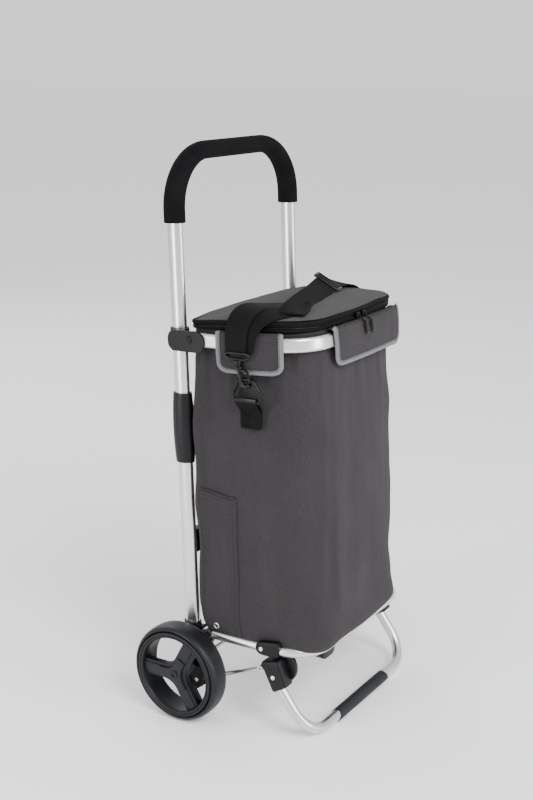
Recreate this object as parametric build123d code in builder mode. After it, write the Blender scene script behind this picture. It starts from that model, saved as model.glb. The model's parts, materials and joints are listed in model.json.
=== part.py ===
"""Folding two-wheel shopping trolley with an aluminium frame and a fabric bag, in millimetres.

Z is up, X runs to the right and the front faces -Y. The origin is on the floor, at the middle of
the whole trolley's box. The frame leans back a little, so its pieces are drawn on planes that
lean with it and pass through the axle: x to the right, y to the back and z up the uprights.
"""

import os
from math import cos, radians, sin, sqrt

from build123d import *

os.makedirs("parts", exist_ok=True)

# stance
wheel_radius = 85
lean = 1.857  # degrees
axle_y = 78.37

# oval frame tube
upright_x = 166.2
upright_y = 4
tube_half_width = 9.5
tube_half_depth = 13.5
tube_wall = 1.5
tube_foot = 63
lower_tube_top = 357.5
upper_tube_foot = 376
handle_top = 857
handle_corner = 88
grip_foot = 750
grip_thickness = 5

# fold hinge inside each lock sleeve
fold_y = 11.5
fold_z = 372
fold_eye = 4.2
fold_pin = 2
tongue_thickness = 3
fork_thickness = 2.4
hinge_gap = 0.1

# lock sleeve
sleeve_foot = 358
sleeve_top = 475
slide_gap = 0.3

# hoop that carries the bag
hoop_z = 569
hoop_x = 179
hoop_height = 24
hoop_thickness = 12
hoop_pivot_y = -30
hoop_rivet = 3
hoop_straight_y = -89.5
hoop_bow = (260, 22)
hoop_corner = (72, 63)
hoop_nose_turn = 5

# platform hoop
deck_z = 57
deck_x = 165
deck_front_y = -226
deck_corner = 60
deck_radius = 9
deck_wall = 1.4
deck_pivot_y = -25
deck_pin = 3
deck_eye_width = 14

# knuckle, stand and stays
knuckle_y = -170
knuckle_z = 26
knuckle_disc = 31
knuckle_pin = 4
stand_x = 171.7
stand_radius = 9
stand_corner = 52
stand_top_y = -157.5
stand_top_z = 20
stand_front_y = -228.7
stand_sleeve_radius = 10.5
stand_sleeve_half = 89.5
stay_radius = 4
stay_pivot = (-8, -30)
stay_front = (-136, 20)
stay_x = 170

# axle and wheels
axle_radius = 4
running_gap = 0.05
axle_half = 229
wheel_inner = 191
wheel_outer = 233.7
tyre_inner_radius = 75
rim_opening_radius = 64.8
hub_radius = 15
bush_radius = 7

# bag
bag_back_y = -20
bag_foot = 70
bag_shoulder = 548
bag_top = 596
bag_wall = 2
neck_inset = 8.5
lid_foot = 604.4
lid_thickness = 5

frame = Plane(
    (0, axle_y, wheel_radius), x_dir=(1, 0, 0), z_dir=(0, sin(radians(lean)), cos(radians(lean)))
)
sides = (("left", -1), ("right", 1))


def level(z):
    """A plane square to the uprights: x to the right, y to the back."""
    return frame.offset(z)


def side(x):
    """A plane across the trolley: its x runs to the back, its y up the uprights."""
    return Plane(frame.from_local_coords((x, 0, 0)), x_dir=frame.y_dir, z_dir=frame.x_dir)


def front(y):
    """A plane facing the front: x to the right, its y up the uprights."""
    return Plane(frame.from_local_coords((0, y, 0)), x_dir=frame.x_dir, z_dir=-frame.y_dir)


def centred(sign, x, width):
    """The plane at the low-x face of a piece that is width wide and centred on x."""
    return side(sign * x - width / 2)


def keep(piece, name):
    """Labels a finished piece and writes it."""
    piece.part.label = name
    export_step(piece.part, f"parts/{name}.step")


def oval_ring(grow, wall):
    """The oval tube's section, grown all round and then hollowed to a wall."""
    Ellipse(tube_half_width + grow, tube_half_depth + grow)
    Ellipse(tube_half_width + grow - wall, tube_half_depth + grow - wall, mode=Mode.SUBTRACT)


def hoop_curve():
    """Half of the bag hoop's plan: side, bow, corner and nose, ready to be mirrored."""
    run = Line((-hoop_x, hoop_pivot_y), (-hoop_x, hoop_straight_y))
    bow = JernArc(run @ 1, run % 1, hoop_bow[0], hoop_bow[1])
    corner = JernArc(bow @ 1, bow % 1, hoop_corner[0], hoop_corner[1])
    nose_radius = -(corner @ 1).X / sin(radians(hoop_nose_turn))
    JernArc(corner @ 1, corner % 1, nose_radius, hoop_nose_turn)
    mirror(about=Plane.YZ)


def bag_plan(inset, wall=0):
    """The bag's plan as a face: the hoop's curve, drawn in at the front and sides by inset,
    closed across the back, and drawn in all round by a wall."""
    with BuildSketch() as plan:
        with BuildLine():
            hoop_curve()
            Polyline(
                (-hoop_x, hoop_pivot_y), (-hoop_x, bag_back_y + inset),
                (hoop_x, bag_back_y + inset), (hoop_x, hoop_pivot_y),
            )
        make_face()
        if inset + wall:
            offset(amount=-inset - wall, kind=Kind.INTERSECTION)
    return plan.sketch


# ---------------------------------------------------------------- lower frame

for hand, sign in sides:
    with BuildPart() as upright:
        with BuildSketch(level(tube_foot)):
            with Locations((sign * upright_x, upright_y)):
                oval_ring(0, tube_wall)
        extrude(amount=lower_tube_top - tube_foot)
        with BuildSketch(level(tube_foot)):
            with Locations((sign * upright_x, upright_y)):
                Ellipse(tube_half_width, tube_half_depth)
        extrude(amount=2)
    keep(upright, f"upright_{hand}")

    # steel tongue pressed into the lower tube, with the fold hinge's eye at its tip
    with BuildPart() as tongue:
        with BuildSketch(centred(sign, upright_x, tongue_thickness)):
            with BuildLine():
                Polyline((-4, 320), (10, 320), (10, 348), (5, 358), (5, 360), (-4, 360), close=True)
            make_face()
            with BuildSketch(mode=Mode.PRIVATE) as neck:
                with Locations((fold_y, fold_z)):
                    Circle(fold_eye)
                with Locations((0.5, 359)):
                    Rectangle(9, 2)
                make_hull()
            add(neck.sketch)
            with Locations((fold_y, fold_z)):
                Circle(fold_pin, mode=Mode.SUBTRACT)
        extrude(amount=tongue_thickness)
    keep(tongue, f"hinge_tongue_{hand}")

    # fork in the upper tube, whose two plates close on the tongue's eye
    with BuildPart() as fork:
        for offset_x in (-1, 1):
            plate_x = upright_x + sign * offset_x * (tongue_thickness / 2 + hinge_gap + fork_thickness / 2)
            with BuildSketch(centred(sign, plate_x, fork_thickness)):
                with BuildSketch(mode=Mode.PRIVATE) as plate:
                    with Locations((fold_y, fold_z)):
                        Circle(fold_eye)
                    with Locations((4, 382)):
                        Rectangle(18, 4)
                    make_hull()
                add(plate.sketch)
                with Locations((4, 400)):
                    Rectangle(18, 34)
                with Locations((fold_y, fold_z)):
                    Circle(fold_pin + running_gap, mode=Mode.SUBTRACT)
            extrude(amount=fork_thickness)
        with BuildSketch(centred(sign, upright_x, tongue_thickness + 2 * hinge_gap)):
            with Locations((4, 408)):
                Rectangle(18, 18)
        extrude(amount=tongue_thickness + 2 * hinge_gap)
    keep(fork, f"hinge_fork_{hand}")

with BuildPart() as pins:
    for hand, sign in sides:
        with BuildSketch(centred(sign, upright_x, 8)):
            with Locations((fold_y, fold_z)):
                Circle(fold_pin)
        extrude(amount=8)
keep(pins, "hinge_pins")

# moulded bracket: plugs the upright, carries the axle and holds the platform's and stay's pivots
bracket_x = 165
bracket_width = 26
deck_slot = deck_eye_width + 0.6
stay_slot = 2 * stay_radius + 0.6
for hand, sign in sides:
    with BuildPart() as bracket:
        with BuildSketch(centred(sign, bracket_x, bracket_width)) as outline:
            with BuildLine():
                Polyline(
                    (16, tube_foot), (-30, tube_foot), (-37, deck_z), (-34, 45), (-20, 20),
                    (-19, -40), (-8, -48), (6, -46), (11, -34), (16, 20), close=True,
                )
            make_face()
            fillet(outline.vertices(), 4)
        extrude(amount=bracket_width)
        fillet(bracket.edges().filter_by(GeomType.LINE, reverse=True), 0.8)
        with BuildSketch(level(tube_foot)):
            with Locations((sign * upright_x, upright_y)):
                Ellipse(tube_half_width + 2.6, tube_half_depth + 2.6)
                Ellipse(tube_half_width, tube_half_depth, mode=Mode.SUBTRACT)
        extrude(amount=10)
        with BuildSketch(centred(sign, deck_x, deck_slot)):
            with Locations((-27, 60)):
                Rectangle(28, 32)
        extrude(amount=deck_slot, mode=Mode.SUBTRACT)
        with BuildSketch(centred(sign, stay_x, stay_slot)):
            with BuildLine():
                Polyline((0, -42), (-40, -42), (-40, 28), (-15, 28), (-9, -16), (0, -20), close=True)
            make_face()
        extrude(amount=stay_slot, mode=Mode.SUBTRACT)
        with BuildSketch(centred(sign, bracket_x, bracket_width + 2)):
            Circle(axle_radius)
            with Locations((deck_pivot_y, deck_z)):
                Circle(deck_pin)
            with Locations(stay_pivot):
                Circle(2)
        extrude(amount=bracket_width + 2, mode=Mode.SUBTRACT)
    keep(bracket, f"axle_bracket_{hand}")

with BuildPart() as bracket_pins:
    for hand, sign in sides:
        with BuildSketch(centred(sign, bracket_x, bracket_width + 1.6)):
            with Locations((deck_pivot_y, deck_z)):
                Circle(deck_pin)
            with Locations(stay_pivot):
                Circle(2)
        extrude(amount=bracket_width + 1.6)
        for face_x in (-1, 1):
            with BuildSketch(centred(sign, bracket_x + face_x * (bracket_width + 1.6) / 2, 1.6)):
                with Locations((deck_pivot_y, deck_z)):
                    Circle(deck_pin + 2)
                with Locations(stay_pivot):
                    Circle(3.4)
            extrude(amount=1.6)
keep(bracket_pins, "bracket_rivets")

with BuildPart() as axle:
    with BuildSketch(side(-axle_half)):
        Circle(axle_radius)
    extrude(amount=2 * axle_half)
    chamfer(axle.edges().filter_by(GeomType.CIRCLE), 0.8)
keep(axle, "axle")

spacer_start = bracket_x + bracket_width / 2 + 2.2
with BuildPart() as spacers:
    for hand, sign in sides:
        with BuildSketch(centred(sign, (spacer_start + wheel_inner) / 2, wheel_inner - spacer_start)):
            Circle(8)
            Circle(axle_radius, mode=Mode.SUBTRACT)
        extrude(amount=wheel_inner - spacer_start)
keep(spacers, "axle_spacers")

brace_height = 40
brace_z = 216
with BuildPart() as brace:
    with BuildSketch(level(brace_z - brace_height / 2)) as brace_section:
        with Locations((0, upright_y - 1)):
            Rectangle(2 * (upright_x - 4), 8)
        with Locations((-150, upright_y), (150, upright_y)):
            Rectangle(14, 18)
        with Locations((-upright_x, upright_y), (upright_x, upright_y)):
            Ellipse(tube_half_width, tube_half_depth, mode=Mode.SUBTRACT)
    extrude(amount=brace_height)
    # pockets between the ribs, open to the back
    with BuildSketch(front(upright_y + 3)):
        with GridLocations(44, 0, 6, 1):
            with Locations((0, brace_z)):
                RectangleRounded(36, brace_height - 8, 3)
    extrude(amount=6, mode=Mode.SUBTRACT, dir=frame.y_dir)
    with BuildSketch(front(upright_y + 2)):
        with GridLocations(44, 0, 6, 1):
            with Locations((0, brace_z)):
                RectangleRounded(36, brace_height - 8, 3)
    extrude(amount=5, mode=Mode.SUBTRACT, dir=frame.y_dir)
keep(brace, "cross_brace")

# ---------------------------------------------------------------- handle frame

with BuildLine() as handle_line:
    FilletPolyline(
        (-upright_x, upper_tube_foot), (-upright_x, handle_top),
        (upright_x, handle_top), (upright_x, upper_tube_foot), radius=handle_corner,
    )
with BuildPart() as handle:
    with BuildSketch(level(upper_tube_foot)):
        with Locations((-upright_x, upright_y)):
            oval_ring(0, tube_wall)
    sweep(path=front(upright_y) * handle_line.line)
keep(handle, "handle_tube")

with BuildLine() as grip_line:
    FilletPolyline(
        (-upright_x, grip_foot), (-upright_x, handle_top),
        (upright_x, handle_top), (upright_x, grip_foot), radius=handle_corner,
    )
with BuildPart() as grip:
    with BuildSketch(level(grip_foot)):
        with Locations((-upright_x, upright_y)):
            oval_ring(grip_thickness, grip_thickness)
    sweep(path=front(upright_y) * grip_line.line)
keep(grip, "handle_grip")

clamp_foot = 549
clamp_height = 34
cheek_inner = hoop_x + hoop_thickness / 2 + slide_gap
cheek_thickness = 3.2
for hand, sign in sides:
    with BuildPart() as clamp:
        with BuildSketch(level(clamp_foot)) as wrap:
            with Locations((sign * upright_x, upright_y)):
                Ellipse(tube_half_width + 3, tube_half_depth + 3)
            with Locations((sign * (cheek_inner + cheek_thickness - 11), -6)):
                Rectangle(22, 20)
            with Locations((sign * upright_x, upright_y)):
                Ellipse(tube_half_width, tube_half_depth, mode=Mode.SUBTRACT)
        extrude(amount=clamp_height)
        with BuildSketch(centred(sign, cheek_inner + cheek_thickness / 2, cheek_thickness)) as ear:
            with Locations((-23, clamp_foot + clamp_height / 2)):
                RectangleRounded(70, clamp_height, 14)
        extrude(amount=cheek_thickness)
        with BuildSketch(centred(sign, cheek_inner + cheek_thickness / 2, cheek_thickness + 2)):
            with Locations((hoop_pivot_y, hoop_z)):
                Circle(hoop_rivet)
        extrude(amount=cheek_thickness + 2, mode=Mode.SUBTRACT)
    keep(clamp, f"hoop_clamp_{hand}")

# dome-headed rivets that the bag hoop turns on
with BuildPart() as hoop_rivets:
    for hand, sign in sides:
        shank = cheek_inner + cheek_thickness - (hoop_x - hoop_thickness / 2) + 1
        with BuildSketch(centred(sign, cheek_inner + cheek_thickness - shank / 2, shank)):
            with Locations((hoop_pivot_y, hoop_z)):
                Circle(hoop_rivet)
        extrude(amount=shank)
        with BuildSketch(centred(sign, cheek_inner + cheek_thickness + 1.2, 2.4)):
            with Locations((hoop_pivot_y, hoop_z)):
                Circle(6)
        extrude(amount=2.4)
        with BuildSketch(centred(sign, hoop_x - hoop_thickness / 2 - 0.5 - slide_gap, 1)):
            with Locations((hoop_pivot_y, hoop_z)):
                Circle(4.5)
        extrude(amount=1)
keep(hoop_rivets, "hoop_rivets")

# barrel-shaped sleeve that slides up the tube to free the fold hinge
for hand, sign in sides:
    with BuildPart() as lock:
        for z, grow in ((sleeve_foot, 3), ((sleeve_foot + sleeve_top) / 2, 5.7), (sleeve_top, 3)):
            with BuildSketch(level(z)):
                with Locations((sign * upright_x, upright_y)):
                    Ellipse(tube_half_width + grow, tube_half_depth + grow)
        loft()
        with BuildSketch(level(sleeve_foot)):
            with Locations((sign * upright_x, upright_y)):
                Ellipse(tube_half_width + slide_gap, tube_half_depth + slide_gap)
        extrude(amount=sleeve_top - sleeve_foot, mode=Mode.SUBTRACT)
    keep(lock, f"lock_sleeve_{hand}")

# ---------------------------------------------------------------- bag hoop

with BuildLine() as hoop_line:
    hoop_curve()
with BuildPart() as hoop:
    with BuildSketch(front(hoop_pivot_y)):
        with Locations((-hoop_x, hoop_z)):
            SlotOverall(hoop_height, hoop_thickness, rotation=90)
            SlotOverall(hoop_height - 3, hoop_thickness - 3, rotation=90, mode=Mode.SUBTRACT)
    sweep(path=level(hoop_z) * hoop_line.line)
    for hand, sign in sides:
        with BuildSketch(centred(sign, hoop_x, hoop_thickness - 1)):
            with Locations((hoop_pivot_y, hoop_z)):
                Circle(hoop_height / 2)
        extrude(amount=hoop_thickness - 1)
        with BuildSketch(centred(sign, hoop_x, hoop_thickness + 2)):
            with Locations((hoop_pivot_y, hoop_z)):
                Circle(hoop_rivet + running_gap)
        extrude(amount=hoop_thickness + 2, mode=Mode.SUBTRACT)
keep(hoop, "bag_hoop")

# ---------------------------------------------------------------- platform

deck_tube_back = deck_pivot_y - 15
with BuildLine() as deck_line:
    FilletPolyline(
        (-deck_x, deck_tube_back), (-deck_x, deck_front_y),
        (deck_x, deck_front_y), (deck_x, deck_tube_back), radius=deck_corner,
    )
with BuildPart() as deck:
    with BuildSketch(front(deck_tube_back)):
        with Locations((-deck_x, deck_z)):
            Circle(deck_radius)
            Circle(deck_radius - deck_wall, mode=Mode.SUBTRACT)
    sweep(path=level(deck_z) * deck_line.line)
    for hand, sign in sides:
        with BuildSketch(centred(sign, deck_x, deck_eye_width)):
            with Locations((deck_pivot_y, deck_z)):
                Circle(deck_radius)
            with Locations((deck_pivot_y - 10, deck_z)):
                Rectangle(20, 2 * deck_radius - 6)
            with Locations((deck_pivot_y, deck_z)):
                Circle(deck_pin + running_gap, mode=Mode.SUBTRACT)
        extrude(amount=deck_eye_width)
keep(deck, "platform_hoop")

# clamp on the platform tube, with the half-disc cheek that the stand's socket turns on
knuckle_outer = 190
knuckle_inner = 151
cheek_width = 8
for hand, sign in sides:
    with BuildPart() as knuckle:
        block_width = knuckle_outer - knuckle_inner
        with BuildSketch(centred(sign, (knuckle_outer + knuckle_inner) / 2, block_width)) as side_view:
            with BuildLine():
                Polyline((-128, 46), (-128, 68), (-162, 68), (-166, 64), (-158, 46), close=True)
            make_face()
            fillet(side_view.vertices(), 3)
        extrude(amount=block_width)
        with BuildSketch(centred(sign, knuckle_inner + cheek_width / 2, cheek_width)):
            with Locations((knuckle_y, knuckle_z)):
                Circle(knuckle_disc)
            with Locations((-150, 52)):
                Rectangle(40, 14)
        extrude(amount=cheek_width)
        with BuildSketch(front(-120)):
            with Locations((sign * deck_x, deck_z)):
                Circle(deck_radius)
        extrude(amount=60, mode=Mode.SUBTRACT)
        with BuildSketch(centred(sign, knuckle_inner + cheek_width / 2, cheek_width + 2)):
            with Locations((knuckle_y, knuckle_z)):
                Circle(knuckle_pin)
            # room for the start of the tube's corner
            with Locations((deck_front_y + deck_corner - 30, deck_z)):
                Rectangle(60, 2 * deck_radius + 2)
        extrude(amount=cheek_width + 2, mode=Mode.SUBTRACT)
    keep(knuckle, f"knuckle_{hand}")

# rivets: one through each clamp and its tube, one pivot pin for each socket
socket_inner = knuckle_inner + cheek_width + slide_gap
socket_width = 2 * (stand_x - socket_inner)
pivot_length = 38
with BuildPart() as knuckle_rivets:
    for hand, sign in sides:
        with BuildSketch(centred(sign, knuckle_outer + 0.8, 1.6)):
            with Locations((-146, deck_z)):
                Circle(5)
        extrude(amount=1.6)
        pivot_centre = knuckle_inner - 1.2 + pivot_length / 2
        with BuildSketch(centred(sign, pivot_centre, pivot_length)):
            with Locations((knuckle_y, knuckle_z)):
                Circle(knuckle_pin)
        extrude(amount=pivot_length)
        with BuildSketch(centred(sign, knuckle_inner - 1.2 + pivot_length + 1, 2)):
            with Locations((knuckle_y, knuckle_z)):
                Circle(6)
        extrude(amount=2)
        with BuildSketch(centred(sign, knuckle_inner - 0.6, 1.2)):
            with Locations((knuckle_y, knuckle_z)):
                Circle(6)
        extrude(amount=1.2)
keep(knuckle_rivets, "knuckle_rivets")

with BuildPart() as clip:
    with BuildSketch(side(-105)) as clip_view:
        with Locations((deck_front_y, 44)):
            RectangleRounded(20, 20, 3)
        with Locations((deck_front_y, deck_z)):
            Circle(deck_radius, mode=Mode.SUBTRACT)
    extrude(amount=38)
keep(clip, "front_clip")

# ---------------------------------------------------------------- stand

stand_bar_z = (stand_sleeve_radius - wheel_radius + stand_front_y * sin(radians(lean))) / cos(radians(lean))
leg_run_y = stand_front_y - stand_top_y
leg_run_z = stand_bar_z - stand_top_z
leg_length = sqrt(leg_run_y**2 + leg_run_z**2)
leg_up = frame.y_dir * (-leg_run_y / leg_length) + frame.z_dir * (-leg_run_z / leg_length)
leg_plane = Plane(
    frame.from_local_coords((0, stand_top_y, stand_top_z)),
    x_dir=frame.x_dir, z_dir=frame.x_dir.cross(leg_up),
)
with BuildLine() as stand_line:
    FilletPolyline(
        (-stand_x, 0), (-stand_x, -leg_length), (stand_x, -leg_length), (stand_x, 0),
        radius=stand_corner,
    )
leg_top_plane = Plane(leg_plane.from_local_coords((-stand_x, 0, 0)), x_dir=frame.x_dir, z_dir=leg_up)
with BuildPart() as stand:
    with BuildSketch(leg_top_plane):
        Circle(stand_radius)
        Circle(stand_radius - deck_wall, mode=Mode.SUBTRACT)
    sweep(path=leg_plane * stand_line.line)
keep(stand, "stand_tube")

with BuildPart() as foot:
    bar_end = Plane(
        frame.from_local_coords((-stand_sleeve_half, stand_front_y, stand_bar_z)),
        x_dir=frame.y_dir, z_dir=frame.x_dir,
    )
    with BuildSketch(bar_end):
        Circle(stand_sleeve_radius)
        Circle(stand_radius, mode=Mode.SUBTRACT)
    extrude(amount=2 * stand_sleeve_half)
keep(foot, "stand_sleeve")

# socket that holds the stand's leg and turns on the knuckle's cheek
socket_length = 32
for hand, sign in sides:
    with BuildPart() as socket:
        with BuildSketch(
            Plane(
                leg_plane.from_local_coords((sign * stand_x - socket_width / 2, 0, 0)),
                x_dir=-leg_plane.z_dir, z_dir=frame.x_dir,
            )
        ) as socket_view:
            with BuildLine():
                Polyline(
                    (12, 2 - socket_length), (-12, -socket_length), (-21, -14), (-22, 3),
                    (-12, 14), (5, 19), (12, 8), close=True,
                )
            make_face()
            fillet(socket_view.vertices(), 3)
        extrude(amount=socket_width)
        with BuildSketch(
            Plane(leg_plane.from_local_coords((sign * stand_x, -socket_length - 5, 0)),
                  x_dir=frame.x_dir, z_dir=leg_up)
        ):
            Circle(stand_radius)
        extrude(amount=socket_length + 5, mode=Mode.SUBTRACT)
        with BuildSketch(centred(sign, stand_x, socket_width + 4)):
            with Locations((knuckle_y, knuckle_z)):
                Circle(knuckle_pin + running_gap)
        extrude(amount=socket_width + 4, mode=Mode.SUBTRACT)
    keep(socket, f"stand_socket_{hand}")

# ---------------------------------------------------------------- stays

stay_run_y = stay_front[0] - stay_pivot[0]
stay_run_z = stay_front[1] - stay_pivot[1]
stay_length = sqrt(stay_run_y**2 + stay_run_z**2)
stay_dir = frame.y_dir * (stay_run_y / stay_length) + frame.z_dir * (stay_run_z / stay_length)
for hand, sign in sides:
    with BuildPart() as stay:
        back_end = frame.from_local_coords((sign * stay_x, stay_pivot[0], stay_pivot[1]))
        with BuildSketch(Plane(back_end + stay_dir * 4, x_dir=frame.x_dir, z_dir=stay_dir)):
            Circle(stay_radius)
        extrude(amount=stay_length - 4)
        for y, z, hole in ((*stay_pivot, 2), (*stay_front, 1.5)):
            with BuildSketch(centred(sign, stay_x, 2 * stay_radius - 1)):
                with Locations((y, z)):
                    Circle(5.4)
            extrude(amount=2 * stay_radius - 1)
            with BuildSketch(centred(sign, stay_x, 4 * stay_radius)):
                with Locations((y, z)):
                    Circle(hole + running_gap)
            extrude(amount=4 * stay_radius, mode=Mode.SUBTRACT)
    keep(stay, f"stay_{hand}")

# ---------------------------------------------------------------- wheels

wheel_width = wheel_outer - wheel_inner
spoke_angles = (0, 120, 240)
for hand, sign in sides:
    outward = frame.x_dir * sign
    hub_face = Plane(frame.from_local_coords((sign * wheel_inner, 0, 0)), x_dir=frame.y_dir, z_dir=outward)
    section = Plane(frame.from_local_coords((sign * wheel_inner, 0, 0)), x_dir=outward,
                    z_dir=outward.cross(frame.z_dir))
    spin_axis = Axis(frame.origin, frame.x_dir)

    with BuildPart() as tyre:
        with BuildSketch(section) as tread:
            with Locations((wheel_width / 2, (wheel_radius + tyre_inner_radius) / 2)):
                Rectangle(wheel_width - 3, wheel_radius - tyre_inner_radius)
            fillet(tread.vertices().group_by(Axis((0, 0, 0), frame.z_dir))[-1], 6)
        revolve(axis=spin_axis)
    keep(tyre, f"tyre_{hand}")

    with BuildPart() as rim:
        with BuildSketch(section):
            with Locations((wheel_width / 2, (tyre_inner_radius + rim_opening_radius) / 2)):
                Rectangle(wheel_width, tyre_inner_radius - rim_opening_radius)
            with Locations((wheel_width / 2, (hub_radius + bush_radius) / 2)):
                Rectangle(wheel_width, hub_radius - bush_radius)
        revolve(axis=spin_axis)
        for angle in spoke_angles:
            with BuildSketch(hub_face.offset(wheel_width - 16)):
                with Locations(Rotation(0, 0, angle)):
                    with BuildLine():
                        Polyline(
                            (10, -13), (30, -10), (48, -15), (66, -27), (68, 0), (66, 27),
                            (48, 15), (30, 10), (10, 13), close=True,
                        )
                    make_face()
            extrude(amount=12)
        with BuildSketch(hub_face.offset(-1)):
            Circle(bush_radius)
        extrude(amount=wheel_width + 2, mode=Mode.SUBTRACT)
    keep(rim, f"rim_{hand}")

    with BuildPart() as bush:
        with BuildSketch(hub_face):
            Circle(bush_radius)
            Circle(axle_radius + running_gap, mode=Mode.SUBTRACT)
        extrude(amount=wheel_width - 1)
    keep(bush, f"bush_{hand}")

    with BuildPart() as cap:
        with BuildSketch(hub_face.offset(wheel_width)):
            Circle(14)
            with PolarLocations(11, 3, start_angle=60):
                Circle(8)
        extrude(amount=3.5)
        fillet(cap.faces().sort_by(Axis((0, 0, 0), outward))[-1].edges(), 1.5)
    keep(cap, f"hub_cap_{hand}")

# ---------------------------------------------------------------- bag

with BuildPart() as bag:
    with BuildSketch(level(bag_foot)):
        add(bag_plan(1))
    extrude(amount=bag_shoulder - bag_foot)
    with BuildSketch(level(bag_shoulder)):
        add(bag_plan(neck_inset))
    extrude(amount=bag_top - bag_shoulder)
    with BuildSketch(level(bag_foot + bag_wall)):
        add(bag_plan(1, bag_wall))
    extrude(amount=bag_shoulder - bag_foot - 2 * bag_wall, mode=Mode.SUBTRACT)
    with BuildSketch(level(bag_shoulder - bag_wall)):
        add(bag_plan(neck_inset, bag_wall))
    extrude(amount=bag_top - bag_shoulder + bag_wall, mode=Mode.SUBTRACT)
keep(bag, "bag_shell")

with BuildPart() as board:
    with BuildSketch(level(bag_foot + bag_wall)):
        add(bag_plan(1, bag_wall + 3))
    extrude(amount=3)
keep(board, "base_board")

with BuildPart() as band:
    with BuildSketch(level(bag_top)):
        add(bag_plan(neck_inset))
        add(bag_plan(neck_inset, bag_wall), mode=Mode.SUBTRACT)
    extrude(amount=lid_foot - bag_top - 0.4)
keep(band, "zip_band")

# flaps that wrap the hoop from the bag's neck: one on each side and one in front
flap_foot = 526
flap_top = 583
flap_wall = 2
hoop_clear = hoop_thickness / 2 + 0.6
flap_windows = (
    ((-185, -138), (60, 122)),
    ((185, -138), (60, 122)),
    ((0, -235), (212, 50)),
)
with BuildPart() as flaps:
    for centre, size in flap_windows:
        for reach, foot, height in (
            (hoop_clear, flap_foot, flap_top - flap_foot),
            (-neck_inset, flap_top, flap_wall),
        ):
            with BuildSketch(level(foot)):
                add(bag_plan(-hoop_clear - flap_wall))
                add(bag_plan(-reach), mode=Mode.SUBTRACT)
                with Locations(centre):
                    Rectangle(*size, mode=Mode.INTERSECT)
            extrude(amount=height)
keep(flaps, "hoop_flaps")

side_skin = hoop_x - 1 + 0.3
with BuildPart() as pockets:
    for hand, sign in sides:
        with BuildSketch(centred(sign, side_skin + 1.3, 2.6)) as pocket_view:
            with BuildLine():
                Polyline((-36, 74), (-36, 320), (-104, 313), (-104, 74), close=True)
            make_face()
            with Locations((-56.5, 82.5)):
                Circle(5.6, mode=Mode.SUBTRACT)
        extrude(amount=2.6)
keep(pockets, "side_pockets")

with BuildPart() as eyelets:
    for hand, sign in sides:
        with BuildSketch(centred(sign, side_skin + 1.6, 3.2)):
            with Locations((-56.5, 82.5)):
                Circle(5.5)
                Circle(2.6, mode=Mode.SUBTRACT)
        extrude(amount=3.2)
keep(eyelets, "pocket_eyelets")

strap_y = -136
webbing_width = 40
webbing_thickness = 2
ring_x = 185
with BuildPart() as tabs:
    for hand, sign in sides:
        with BuildSketch(centred(sign, side_skin + 1.2, 2.4)):
            with Locations((strap_y, 456)):
                Rectangle(webbing_width, 44)
        extrude(amount=2.4)
        # the webbing's loop round the ring's lower bar
        with BuildSketch(front(strap_y + webbing_width / 2)):
            with Locations((sign * (ring_x - 0.7), 481.5)):
                Rectangle(11.4, 10.4)
                Rectangle(6.6, 5.6, mode=Mode.SUBTRACT)
        extrude(amount=webbing_width)
keep(tabs, "strap_tabs")

# flat hexagonal rings held by the tabs
with BuildPart() as rings:
    for hand, sign in sides:
        with BuildSketch(centred(sign, ring_x, 5)) as ring_view:
            with BuildLine():
                Polyline(
                    (strap_y - 25, 479), (strap_y + 25, 479), (strap_y + 25, 491),
                    (strap_y + 13, 517), (strap_y - 13, 517), (strap_y - 25, 491), close=True,
                )
            make_face()
            fillet(ring_view.vertices(), 4)
            offset(amount=-5, mode=Mode.SUBTRACT)
        extrude(amount=5)
keep(rings, "strap_rings")

# ---------------------------------------------------------------- lid and strap

lid_crown = 9
with BuildPart() as lid:
    with BuildSketch(level(lid_foot)):
        add(bag_plan(neck_inset))
    extrude(amount=lid_thickness)
    with BuildSketch(level(lid_foot + lid_thickness)):
        add(bag_plan(neck_inset + 2))
    extrude(amount=lid_crown, taper=48)
keep(lid, "lid")

strap_side = 191
strap_top = lid_foot + lid_thickness + lid_crown + 1
strap_foot = 559.5
strap_route = ((strap_side, strap_foot), (strap_side, 586), (174.5, 612), (156, strap_top))
with BuildPart() as strap:
    with BuildSketch(front(strap_y + webbing_width / 2)):
        with BuildLine() as strap_line:
            Polyline(*strap_route, *((-x, z) for x, z in reversed(strap_route)))
            offset(amount=webbing_thickness, side=Side.RIGHT)
        make_face()
    extrude(amount=webbing_width)
keep(strap, "lid_strap")

with BuildPart() as adjuster:
    with BuildSketch(level(strap_top + webbing_thickness + 0.2)):
        with Locations((105, strap_y)):
            RectangleRounded(28, webbing_width + 10, 4)
            with GridLocations(12, 0, 2, 1):
                Rectangle(7, webbing_width, mode=Mode.SUBTRACT)
    extrude(amount=3)
keep(adjuster, "strap_adjuster")

# snap hooks: an eye bar for the webbing, a swivel stem and an open hook below it
hook_x = ring_x + 6
for hand, sign in sides:
    with BuildPart() as snap:
        with BuildSketch(centred(sign, hook_x, 6)) as hook_view:
            with Locations((strap_y, 552)):
                RectangleRounded(46, 14, 3)
                RectangleRounded(40, 6, 1, mode=Mode.SUBTRACT)
            with Locations((strap_y, 537)):
                Rectangle(7, 18)
            with Locations((strap_y, 513)):
                SlotOverall(34, 20, rotation=90)
                SlotOverall(23, 10, rotation=90, mode=Mode.SUBTRACT)
            with Locations((strap_y - 8, 514)):
                Rectangle(6.2, 16, mode=Mode.SUBTRACT)
        extrude(amount=6)
    keep(snap, f"snap_hook_{hand}")

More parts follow.
